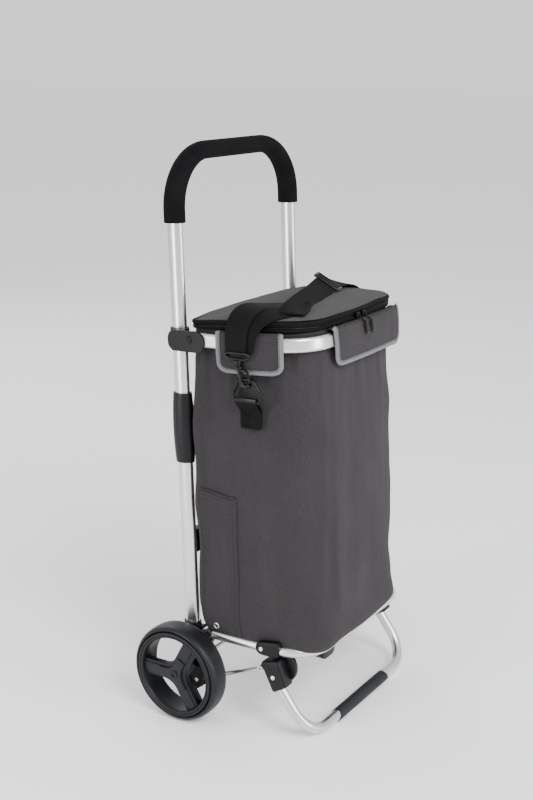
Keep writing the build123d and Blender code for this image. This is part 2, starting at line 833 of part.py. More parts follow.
gate_y = strap_y - 7.6
gate_pivot = 510.5
for hand, sign in sides:
    with BuildPart() as gate:
        with BuildSketch(centred(sign, hook_x, 4)):
            with Locations((gate_y, gate_pivot + 3.5)):
                SlotOverall(11, 4, rotation=90)
        extrude(amount=4)
    keep(gate, f"hook_gate_{hand}")

# zip sliders on the nearly straight front of the zip band, their pulls hanging over the flap
slider_y = -228.2
pull_y = -246
pull_bend = 587
pull_foot = 562
pull_wall = 1.4
slider_x = 14
for hand, sign in sides:
    with BuildPart() as slider:
        with BuildSketch(level(bag_top + 1)):
            with Locations((sign * slider_x, slider_y - 3)):
                RectangleRounded(11, 6, 2)
        extrude(amount=6)
        with BuildSketch(side(sign * slider_x - 3.5)):
            with BuildLine():
                Polyline(
                    (slider_y, bag_top + 3), (slider_y, pull_bend), (pull_y, pull_bend),
                    (pull_y, pull_foot), (pull_y - pull_wall, pull_foot),
                    (pull_y - pull_wall, pull_bend + pull_wall),
                    (slider_y - pull_wall, pull_bend + pull_wall),
                    (slider_y - pull_wall, bag_top + 3), close=True,
                )
            make_face()
        extrude(amount=7)
    keep(slider, f"zip_slider_{hand}")
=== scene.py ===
import bpy, bmesh, json, math
from mathutils import Matrix, Vector, noise
from mathutils.bvhtree import BVHTree


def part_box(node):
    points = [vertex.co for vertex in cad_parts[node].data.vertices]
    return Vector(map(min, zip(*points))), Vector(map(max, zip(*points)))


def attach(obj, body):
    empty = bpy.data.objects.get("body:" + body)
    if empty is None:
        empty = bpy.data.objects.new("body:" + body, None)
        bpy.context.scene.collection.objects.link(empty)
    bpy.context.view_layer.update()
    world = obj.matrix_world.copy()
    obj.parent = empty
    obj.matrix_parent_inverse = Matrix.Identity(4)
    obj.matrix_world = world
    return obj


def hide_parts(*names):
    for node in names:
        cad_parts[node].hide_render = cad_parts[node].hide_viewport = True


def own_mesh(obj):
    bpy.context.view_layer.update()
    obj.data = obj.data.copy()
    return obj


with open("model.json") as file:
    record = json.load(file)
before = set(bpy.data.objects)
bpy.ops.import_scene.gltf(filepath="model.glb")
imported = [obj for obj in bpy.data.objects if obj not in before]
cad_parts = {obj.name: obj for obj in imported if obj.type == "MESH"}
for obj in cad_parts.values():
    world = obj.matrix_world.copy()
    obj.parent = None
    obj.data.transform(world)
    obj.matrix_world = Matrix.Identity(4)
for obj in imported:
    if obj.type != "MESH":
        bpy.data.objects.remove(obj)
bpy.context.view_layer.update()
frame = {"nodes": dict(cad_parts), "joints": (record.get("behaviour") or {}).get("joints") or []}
joints = {joint["name"]: joint for joint in frame["joints"]}
print("frame loaded")

# The trolley's own axes, in millimetres from the middle of its axle: x right, y back, z up the uprights
across = Vector((1, 0, 0))
up = Vector(joints["lock_left_slide"]["axis"]).normalized()
rearward = up.cross(across)
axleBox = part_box("axle")
axleCentre = (Vector(axleBox[0]) + Vector(axleBox[1])) / 2
standing = (Matrix.Translation(axleCentre)
            @ Matrix((across, rearward, up)).transposed().to_4x4()
            @ Matrix.Scale(0.001, 4))
sides = (("left", -1), ("right", 1))


# One socket of a node tree, so that shader maths reads as plain expressions
class Wire:
    def __init__(self, finish, socket):
        self.finish, self.socket = finish, socket

    def maths(self, operation, first, second=None):
        inputs = {0: first} if second is None else {0: first, 1: second}
        return self.finish.node("ShaderNodeMath", {"operation": operation}, inputs)

    def __add__(self, other):
        return self.maths("ADD", self, other)

    def __radd__(self, other):
        return self.maths("ADD", other, self)

    def __sub__(self, other):
        return self.maths("SUBTRACT", self, other)

    def __rsub__(self, other):
        return self.maths("SUBTRACT", other, self)

    def __mul__(self, other):
        return self.maths("MULTIPLY", self, other)

    def __rmul__(self, other):
        return self.maths("MULTIPLY", other, self)

    def sine(self):
        return self.maths("SINE", self)


# A material, with the few calls that build its nodes
class Finish:
    def __init__(self, name, colour, roughness, **fixed):
        self.material = bpy.data.materials.new(name)
        self.material.use_nodes = True
        self.tree = self.material.node_tree
        self.shader = self.tree.nodes["Principled BSDF"]
        self.feed("Base Color", colour)
        self.feed("Roughness", roughness)
        for socket, value in fixed.items():
            self.feed(socket.replace("_", " "), value)

    def feed(self, name, value):
        socket = self.shader.inputs[name]
        if isinstance(value, Wire):
            self.tree.links.new(value.socket, socket)
        else:
            socket.default_value = (*value, 1) if name == "Base Color" else value

    def node(self, kind, settings, inputs, output=0):
        made = self.tree.nodes.new(kind)
        for key, value in settings.items():
            if key == "stops":
                for stop, (spot, tone) in zip(made.color_ramp.elements, value):
                    stop.position, stop.color = spot, (*tone, 1)
            else:
                setattr(made, key, value)
        for key, value in inputs.items():
            if isinstance(value, Wire):
                self.tree.links.new(value.socket, made.inputs[key])
            else:
                made.inputs[key].default_value = value
        return Wire(self, made.outputs[output])

    def place(self):
        return self.node("ShaderNodeTexCoord", {}, {}, "Object")

    def axes(self):
        parts = self.tree.nodes.new("ShaderNodeSeparateXYZ")
        self.tree.links.new(self.place().socket, parts.inputs[0])
        return [Wire(self, output) for output in parts.outputs]

    def grain(self, scale, detail=2, stretch=(1, 1, 1)):
        spread = self.node("ShaderNodeMapping", {}, {"Vector": self.place(), "Scale": stretch})
        return self.node("ShaderNodeTexNoise", {}, {"Vector": spread, "Scale": scale, "Detail": detail})

    def ramp(self, mask, dark, light, low=0.35, high=0.65):
        stops = ((low, dark), (high, light))
        return self.node("ShaderNodeValToRGB", {"stops": stops}, {"Fac": mask})

    def bumps(self, height, depth, strength=1.0):
        self.feed("Normal", self.node("ShaderNodeBump", {}, {
            "Height": height, "Distance": depth, "Strength": strength}))
        return self


# A plain weave that shows on faces of any direction, with flecked yarn
def wovenCloth(name, dark, light, pitch, depth, roughness, specks=900):
    cloth = Finish(name, light, roughness)
    turn = 2 * math.pi / pitch
    waves = [(axis * turn).sine() for axis in cloth.axes()]
    weave = waves[0] * waves[1] + waves[1] * waves[2] + waves[2] * waves[0]
    flecks = cloth.grain(specks, 3)
    drift = cloth.grain(9, 2)
    tone = flecks * 0.75 + drift * 0.15 + weave * 0.03 + 0.05
    cloth.feed("Base Color", cloth.ramp(tone, dark, light, 0.3, 0.7))
    cloth.bumps(weave * 0.5 + flecks, depth)
    cloth.feed("Sheen Weight", 0.04)
    cloth.feed("Specular IOR Level", 0.18)
    return cloth.material


# Close diagonal ribs, as on webbing and zip tape
def ribbedTape(name, dark, light, pitch, depth):
    tape = Finish(name, light, 0.75)
    tape.feed("Specular IOR Level", 0.1)
    x, y, z = tape.axes()
    ribs = ((x + y * 0.6 + z) * (2 * math.pi / pitch)).sine()
    yarn = tape.grain(1400, 2)
    tape.feed("Base Color", tape.ramp(yarn * 0.7 + ribs * 0.12 + 0.15, dark, light))
    return tape.bumps(ribs * 0.5 + yarn * 0.6, depth).material


# Fine spark-eroded grain, a little polished where it is handled
def mouldedPlastic(name, colour, rough, pit=0.00004):
    plastic = Finish(name, colour, rough)
    pits = plastic.grain(2600, 2)
    wear = plastic.grain(26, 3)
    plastic.feed("Specular IOR Level", 0.22 if rough < 0.7 else 0.05)
    plastic.feed("Roughness", wear * 0.16 + (rough - 0.08))
    plastic.feed("Base Color", plastic.ramp(wear, [c * 0.85 for c in colour], [c * 1.2 for c in colour]))
    return plastic.bumps(pits, pit).material


# Satin metal with faint drawing lines along the stretch
def satinMetal(name, colour, rough, stretch, depth=0.000012):
    metal = Finish(name, colour, rough, Metallic=1.0)
    lines = metal.grain(900, 2, stretch)
    haze = metal.grain(14, 2)
    metal.feed("Roughness", lines * 0.08 + haze * 0.06 + (rough - 0.07))
    metal.feed("Base Color", metal.ramp(haze, [c * 0.96 for c in colour], colour))
    return metal.bumps(lines, depth).material


finishes = {
    "bagCloth": wovenCloth("bagCloth", (0.0125, 0.0108, 0.0122), (0.042, 0.0375, 0.0415), 0.0011,
                           0.00022, 0.9),
    "lidCloth": wovenCloth("lidCloth", (0.020, 0.0185, 0.0195), (0.064, 0.060, 0.063), 0.0011,
                           0.00022, 0.85),
    "binding": wovenCloth("binding", (0.10, 0.10, 0.105), (0.175, 0.176, 0.18), 0.0008, 0.0001, 0.7, 1500),
    "webbing": ribbedTape("webbing", (0.0016, 0.0016, 0.0019), (0.0052, 0.0052, 0.0062), 0.0016, 0.00018),
    "zipTape": ribbedTape("zipTape", (0.0018, 0.0018, 0.0021), (0.0055, 0.0055, 0.0062), 0.0011, 0.0001),
    "stitch": Finish("stitch", (0.022, 0.021, 0.023), 0.7).material,
    "tube": satinMetal("tube", (0.66, 0.66, 0.67), 0.3, (1, 1, 0.03)),
    "crossTube": satinMetal("crossTube", (0.68, 0.68, 0.685), 0.3, (0.05, 1, 1)),
    "steel": satinMetal("steel", (0.60, 0.60, 0.61), 0.3, (1, 1, 1)),
    "zinc": satinMetal("zinc", (0.72, 0.72, 0.71), 0.27, (1, 1, 1)),
    "nickel": satinMetal("nickel", (0.66, 0.61, 0.50), 0.24, (1, 1, 1)),
    "moulding": mouldedPlastic("moulding", (0.0026, 0.0028, 0.0037), 0.42),
    "wheelMoulding": mouldedPlastic("wheelMoulding", (0.0065, 0.0075, 0.0095), 0.44),
    "tyreRubber": mouldedPlastic("tyreRubber", (0.007, 0.0075, 0.009), 0.42, 0.00002),
    "softRubber": mouldedPlastic("softRubber", (0.010, 0.0115, 0.014), 0.6, 0.00005),
    "foam": mouldedPlastic("foam", (0.0055, 0.0052, 0.006), 0.93, 0.00035),
    "blackEnamel": mouldedPlastic("blackEnamel", (0.0012, 0.0012, 0.0015), 0.33, 0.00001),
}
print("materials made")


# Turns a bmesh drawn in the trolley's own axes into a finished object on its body
def piece(name, mesh, finish, body, replaces=(), sharp=38, modifiers=()):
    bmesh.ops.transform(mesh, matrix=standing, verts=mesh.verts)
    bmesh.ops.recalc_face_normals(mesh, faces=mesh.faces)
    return dress(name, mesh, finish, body, replaces, sharp, modifiers)


def dress(name, mesh, finish, body, replaces=(), sharp=38, modifiers=()):
    for edge in mesh.edges:
        if len(edge.link_faces) == 2 and edge.calc_face_angle(0) > math.radians(sharp):
            edge.smooth = False
    for face in mesh.faces:
        face.smooth = True
    data = bpy.data.meshes.new(name)
    mesh.to_mesh(data)
    mesh.free()
    made = bpy.data.objects.new(name, data)
    bpy.context.collection.objects.link(made)
    for material in finish if isinstance(finish, (list, tuple)) else [finish]:
        data.materials.append(finishes[material])
    for kind, settings in modifiers:
        modifier = made.modifiers.new(kind.title(), kind)
        for key, value in settings.items():
            setattr(modifier, key, value)
    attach(made, body)
    if replaces:
        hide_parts(*replaces)
    return made


# Applies a piece's modifiers, so that it is one plain mesh
def settle(made):
    depsgraph = bpy.context.evaluated_depsgraph_get()
    final = bpy.data.meshes.new_from_object(made.evaluated_get(depsgraph), depsgraph=depsgraph)
    made.modifiers.clear()
    made.data = final
    return made


# A chain of edges through points
def strand(points, closed=False):
    mesh = bmesh.new()
    verts = [mesh.verts.new(point) for point in points]
    for first, second in zip(verts, verts[1:] + verts[:1] if closed else verts[1:]):
        mesh.edges.new((first, second))
    return mesh


# Extrudes the first ring of points and moves each new ring to its place
def loft(rings, closed=True, capEnds=(False, False)):
    mesh = strand(rings[0], closed)
    mesh.verts.ensure_lookup_table()
    ring = list(mesh.verts)
    edges = list(mesh.edges)
    loops = [ring]
    for points in rings[1:]:
        grown = bmesh.ops.extrude_edge_only(mesh, edges=edges)["geom"]
        partner = {}
        newVerts = [item for item in grown if isinstance(item, bmesh.types.BMVert)]
        fresh = set(newVerts)
        for vert in ring:
            for edge in vert.link_edges:
                other = edge.other_vert(vert)
                if other in fresh:
                    partner[vert] = other
        ring = [partner[vert] for vert in ring]
        for vert, point in zip(ring, points):
            vert.co = point
        edges = [item for item in grown if isinstance(item, bmesh.types.BMEdge)
                 and item.verts[0] in fresh and item.verts[1] in fresh]
        loops.append(ring)
    for end, wanted in ((loops[0], capEnds[0]), (loops[-1], capEnds[1])):
        if wanted:
            bmesh.ops.contextual_create(mesh, geom=end)
    return mesh, loops


# Spins a closed profile round an axis
def turned(profile, centre, axis, steps):
    mesh = strand(profile, closed=True)
    bmesh.ops.spin(mesh, geom=mesh.verts[:] + mesh.edges[:], cent=centre, axis=axis,
                   angle=2 * math.pi, steps=steps, use_merge=True, use_duplicate=False)
    bmesh.ops.remove_doubles(mesh, verts=mesh.verts, dist=0.001)
    return mesh


# Adds one bmesh to another
def join(target, extra):
    shuttle = bpy.data.meshes.new("shuttle")
    extra.to_mesh(shuttle)
    extra.free()
    target.from_mesh(shuttle)
    bpy.data.meshes.remove(shuttle)
    return target


# The same shape on the other side of the trolley
def mirrored(mesh):
    bmesh.ops.scale(mesh, vec=(-1, 1, 1), verts=mesh.verts)
    bmesh.ops.reverse_faces(mesh, faces=mesh.faces)
    return mesh


# The direction of a path at one of its points
def heading(path, index, closed=False):
    count = len(path)
    before = path[(index - 1) % count] if closed or index else path[index]
    after = path[(index + 1) % count] if closed or index < count - 1 else path[index]
    return (after - before).normalized()


# A round bead along a path; across=True sets its section out from the trolley's width
def pipe(path, radius, closed=False, sides=10, across=False):
    rings = []
    for index, point in enumerate(path):
        ahead = heading(path, index, closed)
        if across:
            first = Vector((1, 0, 0))
            first = (first - ahead * first.dot(ahead)).normalized()
            second = ahead.cross(first)
        else:
            first = ahead.cross(Vector((0, 0, 1)))
            first = first.normalized() if first.length > 0.01 else Vector((1, 0, 0))
            second = first.cross(ahead).normalized()
        ring = []
        for step in range(sides):
            angle = 2 * math.pi * step / sides
            ring.append(point + first * radius * math.cos(angle) + second * radius * math.sin(angle))
        rings.append(ring)
    if not closed:
        return loft(rings, capEnds=(True, True))[0]
    mesh, loops = loft(rings)
    ends = (set(loops[0]), set(loops[-1]))
    edges = [edge for edge in mesh.edges
             if any(edge.verts[0] in end and edge.verts[1] in end for end in ends)]
    bmesh.ops.bridge_loops(mesh, edges=edges)
    return mesh


# Wire bent in a plane beside the bag
def wire(path, radius, closed=False):
    return pipe(path, radius, closed, across=True)


# A closed path through corners, each straight run cut short so that the corners are rounded
def bentFrame(corners, steps, trim):
    path = []
    for index, corner in enumerate(corners):
        after = corners[(index + 1) % len(corners)]
        for step in range(steps + 1):
            path.append(corner.lerp(after, trim + (1 - 2 * trim) * step / steps))
    return path


# A flat outline of (y, z) points given a width across the trolley
def slab(outline, low, high):
    mesh = strand([(low, y, z) for y, z in outline], closed=True)
    face = bmesh.ops.contextual_create(mesh, geom=mesh.verts[:])["faces"]
    grown = bmesh.ops.extrude_face_region(mesh, geom=face)["geom"]
    far = [item for item in grown if isinstance(item, bmesh.types.BMVert)]
    bmesh.ops.translate(mesh, vec=(high - low, 0, 0), verts=far)
    return mesh


# Rounds the edges that a test picks
def ease(mesh, wanted, offset, segments=3):
    rims = [edge for edge in mesh.edges if wanted(edge)]
    bmesh.ops.bevel(mesh, geom=rims, offset=offset, segments=segments, profile=0.5,
                    affect="EDGES", material=-1)


def isRim(edge):
    return edge.calc_face_angle(0) > 1


# True on the edges that lie in one plane across the trolley
def isFlat(edge):
    return abs(edge.verts[0].co.x - edge.verts[1].co.x) < 0.01


def box(size, centre, bevel=0, segments=2):
    mesh = bmesh.new()
    bmesh.ops.create_cube(mesh, size=1)
    bmesh.ops.scale(mesh, vec=size, verts=mesh.verts)
    if bevel:
        bmesh.ops.bevel(mesh, geom=mesh.edges[:], offset=bevel, segments=segments,
                        profile=0.5, affect="EDGES", material=-1)
    bmesh.ops.translate(mesh, vec=centre, verts=mesh.verts)
    return mesh


# A round button whose axis is x, y or z
def disc(radius, height, centre, axis, steps=32, bevel=0):
    mesh = bmesh.new()
    bmesh.ops.create_cone(mesh, cap_ends=True, segments=steps, radius1=radius, radius2=radius, depth=height)
    if bevel:
        ease(mesh, isRim, bevel)
    spin = {"x": Matrix.Rotation(math.pi / 2, 3, "Y"), "y": Matrix.Rotation(math.pi / 2, 3, "X"),
            "z": Matrix.Identity(3)}[axis]
    bmesh.ops.rotate(mesh, matrix=spin, cent=(0, 0, 0), verts=mesh.verts)
    bmesh.ops.translate(mesh, vec=centre, verts=mesh.verts)
    return mesh


# Camera, lights and floor
studio = {"azimuth": -56.864, "elevation": 15.765, "lens": 55.52, "sensor": 36,
          "cameraFromAxle": (-1.7116, -1.1524, 1.0924), "world": 1.15, "aim": (0, 0, 0.45), "floor": 30}
# name, place, width, height, power: a soft key high in front, and tall strips that the tubes pick up
lamps = (
    ("key", (-1.3, -2.6, 2.7), 1.4, 1.4, 120),
    ("frontStrip", (0.2, -2.6, 0.8), 0.5, 2.0, 42),
    ("sideStrip", (-2.4, 0.9, 0.8), 0.5, 2.0, 42),
    ("back", (1.2, 2.6, 2.2), 1.6, 1.6, 30),
)


def setCamera():
    turn, tilt = math.radians(studio["azimuth"]), math.radians(studio["elevation"])
    behind = Vector((math.sin(turn) * math.cos(tilt), -math.cos(turn) * math.cos(tilt), math.sin(tilt)))
    camera = bpy.data.objects.new("camera", bpy.data.cameras.new("camera"))
    camera.data.lens = studio["lens"]
    camera.data.sensor_width = studio["sensor"]
    camera.rotation_euler = behind.to_track_quat("Z", "Y").to_euler()
    camera.location = Vector(studio["cameraFromAxle"]) + Vector((0, axleCentre.y, 0))
    bpy.context.collection.objects.link(camera)
    bpy.context.scene.camera = camera


def setLights():
    world = bpy.data.worlds.new("softbox")
    world.use_nodes = True
    world.node_tree.nodes["Background"].inputs["Color"].default_value = (1, 1, 1, 1)
    world.node_tree.nodes["Background"].inputs["Strength"].default_value = studio["world"]
    bpy.context.scene.world = world
    for name, spot, width, height, power in lamps:
        light = bpy.data.lights.new(name, "AREA")
        light.energy, light.shape, light.size, light.size_y = power, "RECTANGLE", width, height
        lamp = bpy.data.objects.new(name, light)
        lamp.location = spot
        lamp.rotation_euler = (Vector(spot) - Vector(studio["aim"])).to_track_quat("Z", "Y").to_euler()
        bpy.context.collection.objects.link(lamp)


def setFloor():
    ground = bmesh.new()
    bmesh.ops.create_grid(ground, x_segments=1, y_segments=1, size=studio["floor"])
    data = bpy.data.meshes.new("studioFloor")
    ground.to_mesh(data)
    ground.free()
    floor = bpy.data.objects.new("studioFloor", data)
    bpy.context.collection.objects.link(floor)
    paper = Finish("floorPaper", (0.97, 0.97, 0.97), 0.95)
    paper.feed("Specular IOR Level", 0.0)
    data.materials.append(paper.material)


setCamera()
setLights()
setFloor()
print("studio set")

# CAD pieces that keep their shape
kept = {
    "tube": ("upright_left", "upright_right", "handle_tube"),
    "crossTube": ("bag_hoop", "platform_hoop", "stand_tube"),
    "steel": ("axle", "stay_left", "stay_right", "hinge_tongue_left", "hinge_tongue_right",
              "hinge_fork_left", "hinge_fork_right", "hinge_pins"),
    "zinc": ("bracket_rivets",),
    "moulding": ("cross_brace", "axle_spacers", "axle_bracket_left", "axle_bracket_right",
                 "hoop_clamp_left", "hoop_clamp_right", "lock_sleeve_left", "lock_sleeve_right"),
    "foam": ("handle_grip",),
    "wheelMoulding": ("bush_left", "bush_right"),
}
for finish, nodes in kept.items():
    for node in nodes:
        data = frame["nodes"][node].data
        data.materials.clear()
        data.materials.append(finishes[finish])
print("frame dressed")

# Wheels
wheel = {"inner": 191, "steps": 96, "hubSteps": 48, "plateEdge": 0.9, "capEdge": 1.4,
         # profiles as (x out from the inner face, radius)
         "tyre": ((2, 75.2), (1.2, 78.4), (3.4, 82), (8, 84.3), (15, 85), (27, 85), (34.5, 84.3),
                  (39.4, 82), (41.6, 78.6), (41.2, 75.2)),
         "rim": ((0.6, 66.6), (0.6, 75), (40.6, 75), (42, 74.2), (42.6, 72.6), (42.4, 71.2), (41.4, 70.6),
                 (41.2, 69.6), (42, 69), (42, 66.6), (41.2, 66), (40, 65.2), (34, 64.8)),
         "hub": ((1, 7.2), (1, 15), (27, 16), (27, 7.2)),
         # star plates as half width, reach, fillet, and where they start and end across the wheel
         "plate": ((13.5, 65.6, 30, 25, 35.5), (8.6, 64.4, 24, 35.5, 37.2)),
         "cap": (8.2, 31, 25, 37.2, 40.2),
         "rib": ((20, 50, 4), (16, 40, 0), 0.8), "teeth": 150, "tooth": ((0.5, 0.7, 1.5), (42.1, 0, 71.9))}


# A three-armed outline: straight arms joined by arcs, one arm pointing to the back
def star(halfWidth, reach, fillet):
    centre = (fillet + halfWidth) / math.sin(math.radians(60))
    outline = []
    for arm in range(3):
        heading = math.radians(120 * arm)
        turn = Matrix.Rotation(heading, 2)
        outline += [turn @ Vector((reach, -halfWidth)), turn @ Vector((reach, halfWidth))]
        gap = Matrix.Rotation(heading + math.radians(60), 2)
        for step in range(9):
            angle = math.radians(210 - 60 * step / 8)
            outline.append(gap @ Vector((centre + fillet * math.cos(angle), fillet * math.sin(angle))))
    return outline


def starPlate(halfWidth, reach, fillet, low, high, bevel):
    mesh = slab([tuple(point) for point in star(halfWidth, reach, fillet)], low, high)
    ease(mesh, lambda edge: all(abs(vert.co.x - high) < 0.01 for vert in edge.verts), bevel)
    return mesh


# Copies of one box, set evenly round the axle
def boxesRound(target, count, size, centre, bevel=0):
    for index in range(count):
        block = box(size, centre, bevel)
        turn = Matrix.Rotation(2 * math.pi * index / count, 3, "X")
        bmesh.ops.rotate(block, matrix=turn, verts=block.verts)
        join(target, block)


def wheelRing(profile, steps):
    return turned([(x, 0, radius) for x, radius in profile], (0, 0, 0), (1, 0, 0), steps)


def buildWheel(hand, sign):
    def seat(mesh):
        bmesh.ops.translate(mesh, vec=(wheel["inner"], 0, 0), verts=mesh.verts)
        return mirrored(mesh) if sign < 0 else mesh

    body = f"wheel_{hand}"
    tyre = wheelRing(wheel["tyre"], wheel["steps"])
    piece(f"tyreBand_{hand}", seat(tyre), "tyreRubber", body, (f"tyre_{hand}",),
          modifiers=(("SUBSURF", {"levels": 1, "render_levels": 1}),))
    rim = wheelRing(wheel["rim"], wheel["steps"])
    join(rim, wheelRing(wheel["hub"], wheel["hubSteps"]))
    for plate in wheel["plate"]:
        join(rim, starPlate(*plate, wheel["plateEdge"]))
    boxesRound(rim, 3, *wheel["rib"])  # a rib behind each spoke
    boxesRound(rim, wheel["teeth"], *wheel["tooth"])  # fine serrations on the outer step
    piece(f"wheelRim_{hand}", seat(rim), "wheelMoulding", body, (f"rim_{hand}",), sharp=30)
    cap = starPlate(*wheel["cap"], wheel["capEdge"])
    piece(f"hubCap_{hand}", seat(cap), "wheelMoulding", body, (f"hub_cap_{hand}",), sharp=30)


for hand, sign in sides:
    buildWheel(hand, sign)
print("wheels made")


# 0 below low, 1 above low + run, straight between
def rampUp(value, low, run):
    return min(1, max(0, (value - low) / run))


# 1 below high - run, 0 above high
def rampDown(value, high, run):
    return min(1, max(0, (high - value) / run))


# A thread of soft noise, from the places along and down and a seed of its own
def drift(along, down, seed):
    return noise.noise(Vector((along, down, seed)))


# A smooth hump of one around a middle
def hump(value, middle, width):
    return math.exp(-((value - middle) / width) ** 2)


# The bag's plan, as a walk round the hoop's curve from the middle of its back
plan = {"backY": -20, "halfWidth": 179, "backCorner": 14, "straightY": -89.5,
        "bow": (260, 22), "corner": (72, 63), "noseTurn": 5, "step": 3, "front": (150, 62)}


# Half of the plan as points with their headings and distances, about one step apart
def walkPlan():
    spots = []
    x, y, heading, travelled = 0.0, plan["backY"], math.pi, 0.0
    sideRun = -(plan["straightY"] - plan["backY"]) - plan["backCorner"]
    moves = [("line", plan["halfWidth"] - plan["backCorner"], 0),
             ("arc", plan["backCorner"], 90), ("line", sideRun, 0),
             ("arc", *plan["bow"]), ("arc", *plan["corner"]), ("nose", 0, plan["noseTurn"])]
    for kind, size, degrees in moves:
        if kind == "nose":
            size = -x / math.sin(math.radians(degrees))
        length = size if kind == "line" else size * math.radians(degrees)
        count = max(2, round(length / plan["step"]))
        bend = 0 if kind == "line" else math.radians(degrees) / count
        for step in range(count):
            spots.append((travelled, x, y, heading))
            heading += bend / 2
            chord = length / count
            x += chord * math.cos(heading)
            y += chord * math.sin(heading)
            heading += bend / 2
            travelled += chord
    spots.append((travelled, 0.0, y, 2 * math.pi))
    return spots


halfPlan = walkPlan()
halfGirth = halfPlan[-1][0]
girth = 2 * halfGirth


# A point on the bag's plan, drawn in by inset; distance runs from mid-back round the left
def edgeAt(distance, inset, z):
    distance %= girth
    flip = distance > halfGirth
    along = girth - distance if flip else distance
    low, high = 0, len(halfPlan) - 1
    while high - low > 1:
        middle = (low + high) // 2
        if halfPlan[middle][0] <= along:
            low = middle
        else:
            high = middle
    first, second = halfPlan[low], halfPlan[high]
    share = (along - first[0]) / (second[0] - first[0])
    x, y, heading = (first[i] + (second[i] - first[i]) * share for i in (1, 2, 3))
    x -= math.sin(heading) * inset
    y += math.cos(heading) * inset
    return Vector((-x if flip else x, y, z))


# 0 along the sides and back, 1 across the front
def frontness(distance):
    return rampUp(-edgeAt(distance, 0, 0).y, *plan["front"])


bag = {"columns": 150, "rows": 62, "neckTop": 589, "hemSide": 65.5, "hemFront": 50.5,
       "neck": (532, 22, 7.6), "slack": 0.5, "swell": 2.1, "belly": (70, 470), "foot": (100, 34),
       "corner": (384, 48), "tuck": 9.5, "flareFront": 2.6,
       "flareLeft": 9, "flareRight": 1, "curl": (62, 12, 9),
       # folds as spread round the bag, spread down it, and depth
       "gathers": (17, 150, 7.0), "drapes": (62, 260, 7.5), "slants": (70, 85, 6.0), "slantLean": 110,
       "crease": (196, 7, -2.6), "creaseFoot": 110, "creaseLean": (300, 0.05), "gatherTop": 548,
       "gatherFade": 60, "gatherAbove": 0.35, "calmFoot": (66, 70), "calmTop": (596, 40),
       # the hem's turn in to the base: further in, higher, or at a level of its own
       "lips": ((1.0, -1.6, None), (2.6, 0.4, None), (4, 0, 67.5), (16, 0, 68.5)), "skin": 0.0012,
       "pinned": (74, 556), "simFrames": 22, "reach": 0.007, "freeFoot": (70, 80), "freeTop": (560, 30),
       "cloth": {"quality": 5, "mass": 0.25, "tension_stiffness": 12, "compression_stiffness": 12,
                 "bending_stiffness": 0.35, "shrink_min": -0.014, "use_pressure": True,
                 "uniform_pressure_force": 0.6}}


# How far the cloth stands inside the hoop's centreline at a height
def bagInset(distance, z):
    neckFoot, neckRun, neckInset = bag["neck"]
    neck = rampUp(z, neckFoot, neckRun)
    foot = rampDown(z, *bag["foot"])
    belly = math.sin(math.pi * rampUp(z, *bag["belly"]))
    inset = neckInset * neck - (1 - neck) * (bag["slack"] + bag["swell"] * belly)
    front = frontness(distance)
    corner = hump(min(distance, girth - distance), *bag["corner"])
    tuck = foot * foot * (1 - front) * (1 - corner) * bag["tuck"]
    flareCorner = bag["flareLeft"] if distance < halfGirth else bag["flareRight"]
    flare = foot * (front * bag["flareFront"] + corner * flareCorner)
    curlTop, curlRun, curlDepth = bag["curl"]
    return inset + tuck - flare + front * curlDepth * rampDown(z, curlTop, curlRun) ** 2


# Hanging folds: gathers under the hoop, long soft drapes, slanting creases and one pressed crease
def foldDepth(distance, z):
    below = z < bag["gatherTop"]
    gather = math.exp(-max(0, bag["gatherTop"] - z) / bag["gatherFade"])
    gather *= 1 if below else bag["gatherAbove"]
    spread, fall, depth = bag["gathers"]
    folds = drift(distance / spread, z / fall, 3.1) * depth * gather
    spread, fall, depth = bag["drapes"]
    folds += drift(distance / spread, z / fall, 7.7) * depth
    spread, fall, depth = bag["slants"]
    folds += drift(distance / spread + z / bag["slantLean"], z / fall, 1.3) * depth
    middle, width, depth = bag["crease"]
    leanFrom, lean = bag["creaseLean"]
    if z > bag["creaseFoot"]:
        folds += depth * hump(distance, middle + (z - leanFrom) * lean, width)
    return folds * rampUp(z, *bag["calmFoot"]) * rampDown(z, *bag["calmTop"])


# A closed ring of points round the plan, its inset and height read at each distance
def planRing(columns, insetAt, heightAt):
    walk = [girth * column / columns for column in range(columns)]
    return [edgeAt(distance, insetAt(distance), heightAt(distance)) for distance in walk]


def hemAt(distance):
    return bag["hemSide"] + (bag["hemFront"] - bag["hemSide"]) * frontness(distance)


# Fills a flat end of a loft with triangles
def fillEnd(mesh):
    bmesh.ops.triangulate(mesh, faces=[face for face in mesh.faces if len(face.verts) > 4])


def buildBag():
    def heightAt(distance, share):
        return bag["neckTop"] + (hemAt(distance) - bag["neckTop"]) * share

    def insetAt(distance, share):
        z = heightAt(distance, share)
        return bagInset(distance, z) - foldDepth(distance, z)

    rings = []
    for row in range(bag["rows"] + 1):
        share = row / bag["rows"]
        rings.append(planRing(
            bag["columns"], lambda walk: insetAt(walk, share), lambda walk: heightAt(walk, share)))
    for further, rise, level in bag["lips"]:
        rings.append(planRing(
            bag["columns"], lambda walk: bagInset(walk, hemAt(walk)) + further,
            lambda walk: hemAt(walk) + rise if level is None else max(level, hemAt(walk) + 2)))
    mesh, loops = loft(rings, capEnds=(False, True))
    fillEnd(mesh)
    made = piece("bagBody", mesh, "bagCloth", "handle_frame", ("bag_shell",), sharp=180)
    drape(made)
    skin = made.modifiers.new("Skin", "SOLIDIFY")
    skin.thickness, skin.offset = bag["skin"], -1
    smooth = made.modifiers.new("Smooth", "SUBSURF")
    smooth.levels = smooth.render_levels = 1
    return settle(made)


